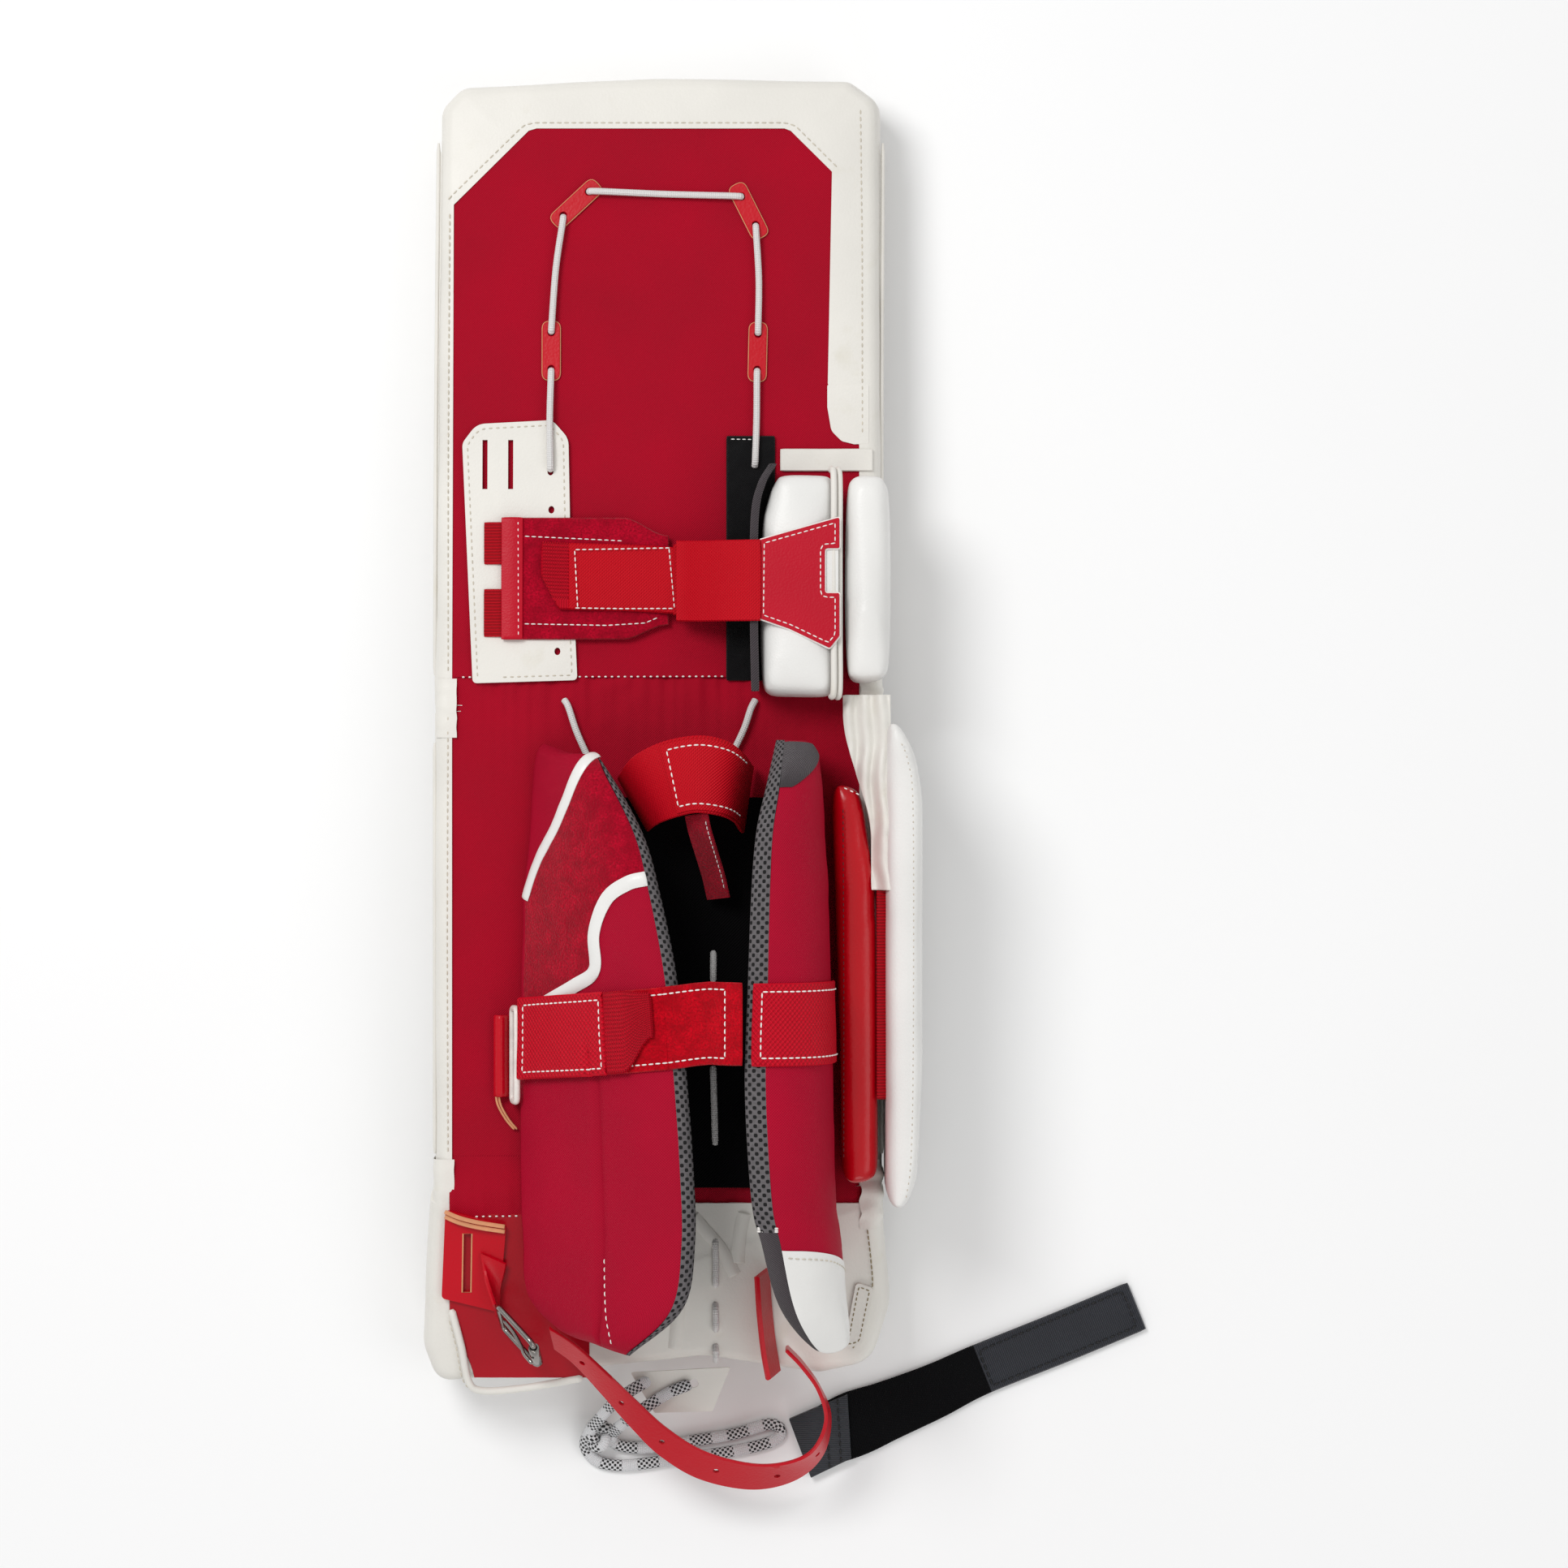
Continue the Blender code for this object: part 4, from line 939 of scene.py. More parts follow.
knee_band = break_band("knee_break_leather", KNEE_BREAK, KNEE_TURN, 1, PAD_LEFT, 1.0)
blended(knee_band)
boot_band = break_band("boot_break_leather", BOOT_BREAK, BOOT_TURN, -1, PAD_LEFT - 1.5, 5.0)
blended(boot_band)

# The facing's corner above the knee block, where its inner edge turns outwards
FACING_CORNER = [
    (134, 217, 1), (108, 217, 1), (108, 203, 2), (110.5, 188, 8), (117, 181.5, 5),
    (125, 179.5, 3), (134, 180, 1),
]
plate("facing_corner", rounded(FACING_CORNER, 5), 53.6, SHELL_Z + 0.15, "thigh", "white_leather",
      edge=0.4)

# Seams of the shells
FACING_SEAM = [
    (-131, 334), (-83, 381.5), (-76, 383), (82, 383), (88, 381), (114.5, 354.5),
]
stitches("facing_stitches", [flat_run(even(FACING_SEAM, 90), SHELL_SEAM_Z)], "thigh",
         "thread_cream", pitch=4.6, long=3.4)
stitches("binding_stitches_thigh", [
    flat_run(even([(-129.5, 326), (-130, 180), (-129.5, 36)], 80), SHELL_SEAM_Z),
    flat_run(even([(129, 392), (130, 300), (130, 186)], 60), SHELL_SEAM_Z),
], "thigh", "thread_cream", pitch=4.4)
stitches("binding_stitches_shin", [
    flat_run(even([(-129.5, 12), (-130, -130), (-129.5, -262)], 80), SHELL_SEAM_Z),
], "shin", "thread_cream", pitch=4.4)
stitches("knee_seam_stitches", [
    flat_run([(-122, KNEE_SEAM_Y), (44, KNEE_SEAM_Y + 0.5)], PANEL_Z + 0.9),
], "thigh", pitch=4.0, long=1.7, thick=0.55)
stitches("boot_seam_stitches", [
    flat_run([(-126, BOOT_SEAM_Y), (-60, BOOT_SEAM_Y + 1)], PANEL_Z + 2.6),
], "boot", pitch=4.0, long=1.8, thick=0.55)


def side_piping(name, body, points, z):
    line = even(through([(x, y, z) for x, y in points], 60), 60)
    tube(name, line, 1.3, body, "white_leather", sides=8)


for end_name, x_edge in (("left", PAD_LEFT - 0.4), ("right", PAD_RIGHT + 0.3)):
    for z, level in ((12, "front"), (44, "back")):
        side_piping(f"thigh_piping_{end_name}_{level}", "thigh",
                    [(x_edge, KNEE_BREAK + 20), (x_edge, 200), (x_edge + 1, 372)], z)
        side_piping(f"shin_piping_{end_name}_{level}", "shin",
                    [(x_edge, BOOT_BREAK + 20), (x_edge, -130), (x_edge, KNEE_BREAK - 20)], z)


# ---------------------------------------------------------------- thigh fittings
TAB_TOP = SKIN_Z + 1.8
LACE_RADIUS = 2.1
LACE_TABS = [
    ((-58, 324), (-42, 339)), ((54, 336), (63, 318)),
    ((-65.4, 250), (-65.4, 227)), ((64.5, 249), (64, 226.5)),
]
TAB_LENGTH, TAB_WIDTH = 37.0, 11.0


def tab_outline(first, second, length, width):
    """A bar with round ends about two holes, and a function that places points on it."""
    a, b = Vector(first), Vector(second)
    along = (b - a).normalized()
    side = Vector((-along.y, along.x))
    middle = (a + b) / 2
    reach, half = length / 2, width / 2

    def turned(points):
        return [tuple(middle + along * x + side * y) for x, y in points]

    corners = [(-reach, -half, 4.5), (reach, -half, 4.5), (reach, half, 4.5), (-reach, half, 4.5)]
    return turned(rounded(corners, 5)), turned, (b - a).length / 2


for number, (first, second) in enumerate(LACE_TABS, 1):
    outline, turned, half_holes = tab_outline(first, second, TAB_LENGTH, TAB_WIDTH)
    holes = [turned(circle(x, 0, 2.3, 2.3, 14)) for x in (-half_holes, half_holes)]
    plate(f"lace_tab_{number}_leather", outline, SKIN_Z, TAB_TOP, "thigh", "red_leather",
          holes, replaces=[f"lace_tab_{number}"])
    rim = [(x, y, SKIN_Z + 0.7) for x, y in outline]
    tube(f"lace_tab_{number}_edge", rim, 0.55, "thigh", "tan_edge", sides=6, closed=True)

LACE_Z = TAB_TOP + LACE_RADIUS
SUNK_Z = SKIN_Z + 0.4


def lace_run(name, points, body, **more):
    line = even(through(points, 90), 70)
    return tube(name, line, LACE_RADIUS, body, "lace", sides=12, **more)


# The lace dives into a tab's holes, and each stretch between holes is one run
KNEE_HOLE_Z = SKIN_Z + 2.6
lace_run("thigh_lace_left", [
    (-65.6, 163, KNEE_HOLE_Z), (-65.6, 167, LACE_Z + 2.4), (-66, 195, LACE_Z + 1.4),
    (-65.4, 221, LACE_Z), (-65.4, 227, SUNK_Z)], "thigh", replaces=["thigh_lace"])
lace_run("thigh_lace_left_upper", [
    (-65.4, 250, SUNK_Z), (-65, 255, LACE_Z), (-62.5, 290, LACE_Z - 0.6),
    (-58.5, 318, LACE_Z), (-58, 324, SUNK_Z)], "thigh")
lace_run("thigh_lace_top", [
    (-42, 339, SUNK_Z), (-37, 339, LACE_Z), (5, 337.3, LACE_Z - 0.8), (49, 336, LACE_Z),
    (54, 336, SUNK_Z)], "thigh")
lace_run("thigh_lace_right_upper", [
    (63, 318, SUNK_Z), (63.3, 313, LACE_Z), (65, 283, LACE_Z - 0.8), (64.6, 254, LACE_Z),
    (64.5, 249, SUNK_Z)], "thigh")
lace_run("thigh_lace_right", [
    (64, 226.5, SUNK_Z), (63.8, 221, LACE_Z), (63.6, 195, LACE_Z - 0.4),
    (62.8, 170, LACE_Z + 1.4), (62.4, 165, SKIN_Z + 2.2)], "thigh")

PLATE_TOP = SKIN_Z + 2.8
KNEE_PLATE = [
    (-114, 29, 3), (-48.5, 31, 3), (-53.3, 131, 20), (-54.4, 183, 12), (-64.5, 194.5, 8),
    (-112, 192, 12), (-121, 180, 8),
]
SLOTS = [(-106.7, 151, 182), (-90.6, 151, 182)]
LACE_HOLES = [(-65.6, 162), (-65.0, 138), (-61.0, 49)]
plate_holes = [[(x - 1.6, a), (x + 1.6, a), (x + 1.6, b), (x - 1.6, b)] for x, a, b in SLOTS]
plate_holes += [circle(x, y, 1.9, 2.4, 12) for x, y in LACE_HOLES]
plate("knee_plate_leather", rounded(KNEE_PLATE), SKIN_Z + 0.2, PLATE_TOP, "thigh",
      "white_leather", plate_holes, 0.7, replaces=["knee_plate"])
plate_seam = rounded(inset(KNEE_PLATE, 3.2), 6, 4)
seam_start = min(range(len(plate_seam)),
                 key=lambda k: plate_seam[k][1] - plate_seam[k][0] * 0.01)
plate_seam = plate_seam[seam_start:] + plate_seam[:seam_start]
stitches("knee_plate_stitches", [flat_run(even(plate_seam[1:], 160), PLATE_TOP + 0.05)],
         "thigh", "thread_cream", pitch=4.4, long=2.6)

strip_grid = field((45.3, 74.5), (184, 31.5), 24, 90,
                   lambda x, y: SKIN_Z + 1.0 + 0.35 * wobble(x, y, 1, 7))
strap("hook_strip_cloth", strip_grid, "thigh", "fuzzy_black", -1.0, 1.0,
      replaces=["knee_hook_strip"])
stitches("hook_strip_end", [flat_run([(47, 182.5), (61, 182.3)], SKIN_Z + 2.3)], "thigh",
         pitch=3.2, long=2.4, thick=0.35)


# ---------------------------------------------------------------- padded blocks
SWELL_GRAIN = 4.0
SWELL_PRESSURE = 4.0
SWELL_STIFFNESS = 18
SWELL_BENDING = 1.2
SWELL_FRAMES = 20
DEEPEST_INSET = 7.2


def cloth_swell(obj, cap):
    """Swells a closed mesh with cloth pressure, and caps how far each point moves."""
    scene = bpy.context.scene
    bpy.context.view_layer.objects.active = obj
    remesh = obj.modifiers.new("remesh", "REMESH")
    remesh.mode = "VOXEL"
    remesh.voxel_size = SWELL_GRAIN * MM
    remesh.use_smooth_shade = True
    bpy.ops.object.modifier_apply(modifier=remesh.name)
    rest = np.array([v.co for v in obj.data.vertices], float)
    cloth = obj.modifiers.new("swell", "CLOTH")
    cloth.settings.quality = 5
    cloth.settings.use_pressure = True
    cloth.settings.uniform_pressure_force = SWELL_PRESSURE
    cloth.settings.tension_stiffness = SWELL_STIFFNESS
    cloth.settings.compression_stiffness = SWELL_STIFFNESS
    cloth.settings.bending_stiffness = SWELL_BENDING
    cloth.settings.effector_weights.gravity = 0.0
    cloth.point_cache.frame_start = 1
    cloth.point_cache.frame_end = SWELL_FRAMES
    for step in range(1, SWELL_FRAMES + 1):
        scene.frame_set(step)
    evaluated = obj.evaluated_get(bpy.context.evaluated_depsgraph_get())
    swollen = np.array([v.co for v in evaluated.data.vertices], float)
    obj.modifiers.remove(cloth)
    scene.frame_set(1)
    shift = swollen - rest
    far = np.linalg.norm(shift, axis=1, keepdims=True)
    shift *= np.minimum(1, cap * MM / np.maximum(far, 1e-9))
    obj.data.vertices.foreach_set("co", (rest + shift).astype(np.float32).ravel())
    if UV_NAME not in obj.data.uv_layers:
        obj.data.uv_layers.new(name=UV_NAME)
    relax = obj.modifiers.new("relax", "CORRECTIVE_SMOOTH")
    relax.iterations = 3
    relax.use_only_smooth = True
    finer = obj.modifiers.new("finer", "SUBSURF")
    finer.levels = finer.render_levels = 1
    for modifier in (relax, finer):
        bpy.ops.object.modifier_apply(modifier=modifier.name)
    obj.data.shade_smooth()


def block(name, corners, low, high, edge, body, finish, replaces, cap=2.4, start=1.6):
    """A padded block: a rounded box that swells against its seams."""
    levels = [(edge, low), (edge * 0.3, low + edge * 0.3), (0, low + edge),
              (0, (low + high) / 2), (0, high - edge), (edge * 0.3, high - edge * 0.3),
              (edge, high), (edge * 1.5, high + 0.2)]
    rings = []
    for distance, z in levels:
        shrunk = inset(corners, min(distance + start, DEEPEST_INSET))
        rings.append([(x, y, z) for x, y in rounded(shrunk, 5, 10)])
    obj = loft(name, rings, body, finish, replaces=replaces, sharp=80)
    parent = obj.parent
    cloth_swell(obj, cap)
    obj.parent = parent
    return obj


KNEE_WING = [(66, 18, 8), (113.5, 17.5, 6), (113.5, 158, 6), (75, 159, 10), (66, 130, 20)]
KNEE_WING_TOP = 94.0
block("knee_wing_block", KNEE_WING, 58.6, KNEE_WING_TOP - 1.5, 6, "knee_wing", "white_block",
      ["knee_wing_cover", "knee_wing_foam"])
OUTER_KNEE = [(119, 26, 6), (147, 28, 8), (147, 158, 10), (119, 158, 8)]
block("outer_knee_block", OUTER_KNEE, 55.4, 94.0, 5, "thigh", "white_block",
      ["outer_knee_cover", "outer_knee_foam"], cap=2.0)
# Its near side follows the right wing's outer face, where that lies when it is open
SIDE_BLOCK = [
    (117, -281, 3), (138.5, -276, 6), (137.5, -98, 40), (128, -34, 8), (110.4, -29, 5),
    (113.4, -110, 60), (116.2, -200, 60),
]
block("side_block", SIDE_BLOCK, 55.4, 98.6, 3, "shin", "red_gloss",
      ["side_block_cover", "side_block_foam"], cap=1.0, start=0.4)
OUTER_CALF = [
    (144.5, -297, 3), (155, -296, 8), (162, -279, 16), (165.4, -200, 60), (165.4, -40, 16),
    (161, -8, 14), (152, 8, 8), (144, 12, 3),
]
block("outer_calf_block", OUTER_CALF, 12.6, 117.0, 3.2, "shin", "white_block",
      ["outer_calf_cover", "outer_calf_foam"], cap=1.8, start=1.0)


def wall_cloth(name, points, low, high, out, body, finish, **more):
    """Thin cloth standing against a block's side."""
    line = even(through([(x, y, 0.0) for x, y in points], 60), 60)
    rows = []
    for z in np.linspace(high, low, 14):
        rows.append([(x + out * 0.6 * math.sin(math.pi * (z - low) / (high - low))
                      + 0.5 * wobble(x, y, z, 14), y, z) for x, y, _ in line])
    return open_sheet(name, np.array(rows), body, finish, **more)


wall_cloth("knee_wing_lining", [(73.2, 162.8), (66.5, 150), (62.6, 128), (62.4, 70), (63, 24)],
           58.4, 93.0, -1.0, "knee_wing", "lining")
strap("knee_wing_lining_edge", np.array([
    [(x - 1.8, y, z), (x, y, z + 0.8), (x + 2.2, y, z + 0.9)]
    for x, y, z in even(through([(73.6, 162.6, 91), (66.6, 150, 92.5), (62.4, 128, 93),
                                 (62.0, 70, 93), (62.8, 22, 91.5)], 80), 60)]),
    "knee_wing", "lining", -0.8, 0.8)
for offset, drop, label in ((0.0, 0.0, "inner"), (3.6, 3.4, "outer")):
    x_line, z_line = 111.6 + offset, 92.6 - drop
    route = [(x_line - 2, 160.0, z_line - 8), (x_line, 155, z_line - 1), (x_line, 110, z_line),
             (x_line, 60, z_line), (x_line, 23, z_line - 1), (x_line - 2, 18.0, z_line - 8)]
    tube(f"knee_wing_piping_{label}", even(through(route, 90), 80), 2.0, "knee_wing",
         "white_leather", sides=12)
tie = field((79, 136), (176, 163), 30, 12,
            lambda x, y: SKIN_Z + 1.4 + 0.7 * wobble(x, y, 2, 16))
strap("wing_tie_leather", tie, "thigh", "white_leather", -0.8, 0.8, replaces=["wing_tie"])

KNEE_TAB = [(65.5, 66.5, 1), (84, 60, 1), (109, 48, 1.5), (115, 55.5, 2), (115, 82, 1),
            (106, 82, 2), (106, 110, 2), (115, 110, 1), (115, 129, 1), (66, 115, 1)]
tab_low = KNEE_WING_TOP + 0.5
plate("knee_tab_leather", rounded(KNEE_TAB, 4), tab_low, tab_low + 2.2, "knee_wing", "red_tab",
      replaces=["knee_tab"])
tube("knee_tab_edge", [(x, y, tab_low + 0.8) for x, y in rounded(inset(KNEE_TAB, -0.3), 4, 3)],
     0.6, "knee_wing", "thread_white", sides=6, closed=True)
LOOP = [(103, 79, 2), (114.5, 79, 2), (114.5, 113, 2), (103, 113, 2)]
plate("knee_tab_loop", rounded(LOOP, 4), tab_low - 2.2, tab_low - 0.2, "knee_wing",
      "white_block", edge=0.8)
tab_seam = rounded(inset(KNEE_TAB, 2.6), 4, 3)
stitches("knee_tab_stitches", [flat_run(tab_seam, tab_low + 2.3, closed=True)], "knee_wing",
         pitch=4.0, long=3.0, thick=0.4)


# ---------------------------------------------------------------- knee strap and patch
PATCH_LOW = PLATE_TOP + 0.4
PATCH_TOP = PATCH_LOW + 2.2


def patch_edge(x, top):
    """The patch's upper or lower edge, which draws in towards its round end."""
    end = smoothstep(x, -20, 8)
    return 132 - 11 * end if top else 57 + 9 * end


patch_rows = []
for share in np.linspace(0, 1, 34):
    row = []
    for x in np.linspace(-95, 8, 44):
        y = patch_edge(x, True) * (1 - share) + patch_edge(x, False) * share
        bow = 1.5 * math.sin(math.pi * share) * smoothstep(x, -60, 0)
        row.append((x, y, PATCH_LOW + 1.2 + bow + 0.3 * wobble(x, y, 5, 6)))
    patch_rows.append(row)
strap("knee_patch_cloth", np.array(patch_rows), "knee_patch", "brushed", -1.1, 1.1,
      replaces=["knee_patch"])
hem = np.array([[(x, y, PATCH_TOP + 0.9 + 0.7 * math.sin(math.pi * (x + 95) / 12))
                 for x in np.linspace(-95.5, -83, 7)] for y in np.linspace(132.3, 56.7, 50)])
strap("knee_patch_hem", hem, "knee_patch", "red_tab", -0.9, 0.9)
stitches("knee_patch_stitches", [
    flat_run([(-85.6, 131), (-85.2, 58)], PATCH_TOP + 1.9),
    flat_run([(-82, 121), (-40, 119), (-20, 118)], PATCH_TOP + 0.6),
    flat_run([(-82, 66), (-30, 65), (-6, 66.5), (2, 70)], PATCH_TOP + 0.6),
], "knee_patch", pitch=4.0, long=3.0, thick=0.4)
for number, (y_low, y_high) in enumerate(((58.5, 87.5), (104, 129.5)), 1):
    rows = np.array([[(x, y, PLATE_TOP + 0.9 + 0.6 * smoothstep(x, -106, -95))
                      for x in np.linspace(-106.5, -93, 8)]
                     for y in np.linspace(y_high, y_low, 14)])
    strap(f"knee_patch_tab_{number}", rows, "thigh", "webbing_ribs", -0.8, 0.8)

hook_line = through([
    (-70, 96.5, PATCH_TOP + 2.4), (-62, 96, PATCH_TOP + 2.3), (-48, 95.5, PATCH_TOP + 2.6),
    (-26, 95, PATCH_TOP + 2.8), (-4, 94, PATCH_TOP + 3.2), (9, 93, 65.2), (17, 92, 67.4)], 60)


def strap_rows(line, half, across=(0, 1, 0), cols=11):
    across = np.asarray(across, float)
    across = across / np.linalg.norm(across)
    shares = np.linspace(half, -half, cols)
    return np.stack([line + across * s for s in shares], axis=1)


hook_grid = strap_rows(hook_line, 20.0)
for i in range(12):
    cut = (1 - i / 12) * 17
    for j in range(hook_grid.shape[1]):
        y = hook_grid[i, j, 1]
        hook_grid[i, j, 1] = max(y, hook_line[i][1] - 20 + cut)
strap("knee_strap_webbing", hook_grid, "knee_strap", "elastic", -1.3, 1.3,
      replaces=["knee_strap_hook"])
hook_end = hook_grid[:17] + np.array([0.0, 0.0, 0.35])
strap("knee_strap_hook_end", hook_end, "knee_strap", "webbing_wales", -1.5, 1.5)
stitches("knee_strap_box", [
    (np.array([(-50, 112, 65.9), (-20, 112.5, 66.2), (10, 113, 67.2)]), UP),
    (np.array([(-50, 75.5, 65.9), (-20, 75, 66.2), (12, 75, 67.8)]), UP),
    (np.array([(-50, 112, 65.9), (-48, 75.5, 65.9)]), UP),
    (np.array([(9, 113, 67.0), (12.5, 75, 67.9)]), UP),
], "knee_strap", pitch=3.8, long=2.9, thick=0.42)
elastic_line = through([
    (14, 92, 71), (20, 91.7, 73.2), (30, 91, 80.5), (44, 90.4, 90.2), (57, 90, 96.2),
    (66, 90, 97.6)], 50)
elastic_grid = strap_rows(elastic_line, 24.5)
strap("knee_strap_elastic_web", elastic_grid, "knee_strap", "elastic", -1.1, 1.1,
      replaces=["knee_strap_elastic"])
fold_line = through([(15, 93, 69.4), (24, 93.5, 72.4), (31, 94, 73.2), (34, 94, 70.6),
                     (28, 93.6, 68.2), (12, 93, 66.8)], 40)
strap("knee_strap_fold", strap_rows(fold_line, 21.5), "knee_strap", "elastic", -1.0, 1.0)


# ---------------------------------------------------------------- shin fittings
liner = field((-52, 84), (-40, -283), 40, 70,
              lambda x, y: SKIN_Z + 1.2 + 0.8 * wobble(x, y, 4, 30))
strap("channel_cloth", liner, "shin", "channel", -1.0, 0.8, replaces=["channel_liner"])
CHANNEL_Z = SKIN_Z + 3.6
lace_run("channel_lace_upper", [(36.6, -136, CHANNEL_Z - 2.6), (36.7, -140, CHANNEL_Z),
                                (36.6, -148, CHANNEL_Z), (36.5, -154, CHANNEL_Z - 2.6)],
         "shin", replaces=["channel_lace"])
lace_run("channel_lace_lower", [(36.4, -208, CHANNEL_Z - 2.6), (36.6, -213, CHANNEL_Z),
                                (37.2, -235, CHANNEL_Z), (37.8, -257, CHANNEL_Z - 2.6)], "shin")
LOWER_LACES = {
    "left": [(-57, 22, SKIN_Z + 0.5), (-54, 17, 58), (-49, 2, 58.4), (-42, -14, 57.6)],
    "right": [(63, 22, SKIN_Z + 0.5), (60, 16, 58), (56, 4, 58.4), (50, -9, 57.6)],
}
for side_name, route in LOWER_LACES.items():
    lace_run(f"lower_lace_{side_name}_cord", route, "shin", replaces=[f"lower_lace_{side_name}"])


class Surface:
    """A grid with its normals, which can be read between its points."""

    def __init__(self, grid, facing=1.0):
        self.grid = grid
        self.normal = grid_normals(grid) * facing
        self.rows, self.cols = grid.shape[:2]

    def at(self, s, u, lift=0.0):
        r, c = s * (self.rows - 1), u * (self.cols - 1)
        i = int(min(max(r, 0), self.rows - 2))
        j = int(min(max(c, 0), self.cols - 2))
        a, b = r - i, c - j

        def blend(values):
            return ((values[i, j] * (1 - b) + values[i, j + 1] * b) * (1 - a)
                    + (values[i + 1, j] * (1 - b) + values[i + 1, j + 1] * b) * a)

        normal = blend(self.normal)
        normal = normal / max(np.linalg.norm(normal), 1e-9)
        return blend(self.grid) + normal * lift, normal

    def line(self, places, count, lift=0.0):
        """A line on the surface through places given as (s, u), and where it faces."""
        path = through(places, count)
        both = [self.at(s, u, lift) for s, u in path]
        return np.array([p for p, _ in both]), np.array([n for _, n in both])

    def box(self, corners, lift):
        """Straight lines from each corner to the next."""
        return [self.line([a, b], 40, lift) for a, b in zip(corners, corners[1:])]


def facing_up(grid, row, col):
    """A surface whose normals are turned so that the one at (row, col) points upwards."""
    surface = Surface(grid)
    if surface.normal[row, col][2] < 0:
        surface.normal *= -1
    return surface


def ribbon(name, line, facing, width, body, finish, dome=0.8, **more):
    """A narrow band that lies on a surface, a little raised along its middle."""
    tangent = np.gradient(line, axis=0)
    tangent /= np.maximum(np.linalg.norm(tangent, axis=1, keepdims=True), 1e-9)
    across = np.cross(tangent, facing)
    columns = []
    for share in np.linspace(-1, 1, 7):
        rise = dome * (1 - share * share)
        columns.append(line + across * (share * width / 2) + facing * rise)
    return strap(name, np.stack(columns, axis=1), body, finish, -0.5, 0.2, **more)


WING_HALF = 5.0
LEFT_WING = [
    # x, y and z at the root, then at the free edge
    ((-69, -6, 64), (-36, -17, 88)),
    ((-71, -28, 61), (-25, -27, 104)),
    ((-73.5, -64, 61), (-5.5, -62, 117)),
    ((-77, -98, 61), (4.5, -96, 124)),
    ((-78.7, -150, 61), (15.5, -150, 128)),
    ((-79.5, -208, 61), (21.3, -208, 129)),
    ((-79.8, -266, 61), (25.5, -266, 129)),
    ((-78, -315, 64), (26.5, -312, 129)),
    ((-74, -350, 69), (19, -352, 126)),
    ((-46, -374, 85), (-14, -382, 116)),
]
RIGHT_WING = [
    # root x, root z, bulge x, free x, free z, y
    (84, 62, 97, 76, 112, -4), (86, 61, 102, 70, 138, -32), (87, 61, 104, 64, 147, -60),
    (88, 61, 107, 61, 150, -96), (89, 61, 109, 59, 151, -149), (90, 61, 111, 57, 151, -215),
    (90, 61, 113, 61, 150, -284), (93, 63, 116, 67, 148, -310), (98, 67, 117, 76, 137, -345),
    (103, 73, 117, 88, 122, -366), (107, 81, 114, 103, 104, -380),
]


def left_wing_middle(shares):
    rows = []
    for root, free in LEFT_WING:
        row = []
        for u in shares:
            rise = math.sin(u * math.pi / 2)
            row.append((root[0] + (free[0] - root[0]) * u, root[1] + (free[1] - root[1]) * u,
                        root[2] + (free[2] - root[2]) * rise))
        rows.append(row)
    return np.array(rows)


def right_wing_middle(shares):
    rows = []
    for root_x, root_z, bulge, free_x, free_z, y in RIGHT_WING:
        rise = free_z - root_z
        guide = np.array([(root_x, y, root_z), (bulge, y, root_z + 0.35 * rise),
                          (bulge + 4, y, root_z + 0.97 * rise), (free_x, y, free_z)], float)
        row = []
        for u in shares:
            weights = ((1 - u) ** 3, 3 * u * (1 - u) ** 2, 3 * u * u * (1 - u), u ** 3)
            row.append(sum(w * g for w, g in zip(weights, guide)))
        rows.append(row)
    return np.array(rows)


MESH_SHARE = 0.93
WING_ROWS = 110
SKIRT_END = {"left": 0.86, "right": 0.72}


def end_taper(rows, reach=0.035):
    """How thick a wing is along its length: full, but for its sewn ends."""
    s = np.linspace(0, 1, rows)
    near_end = np.minimum(s, 1 - s) / reach
    return np.sqrt(np.clip(near_end, 0, 1))[:, None]


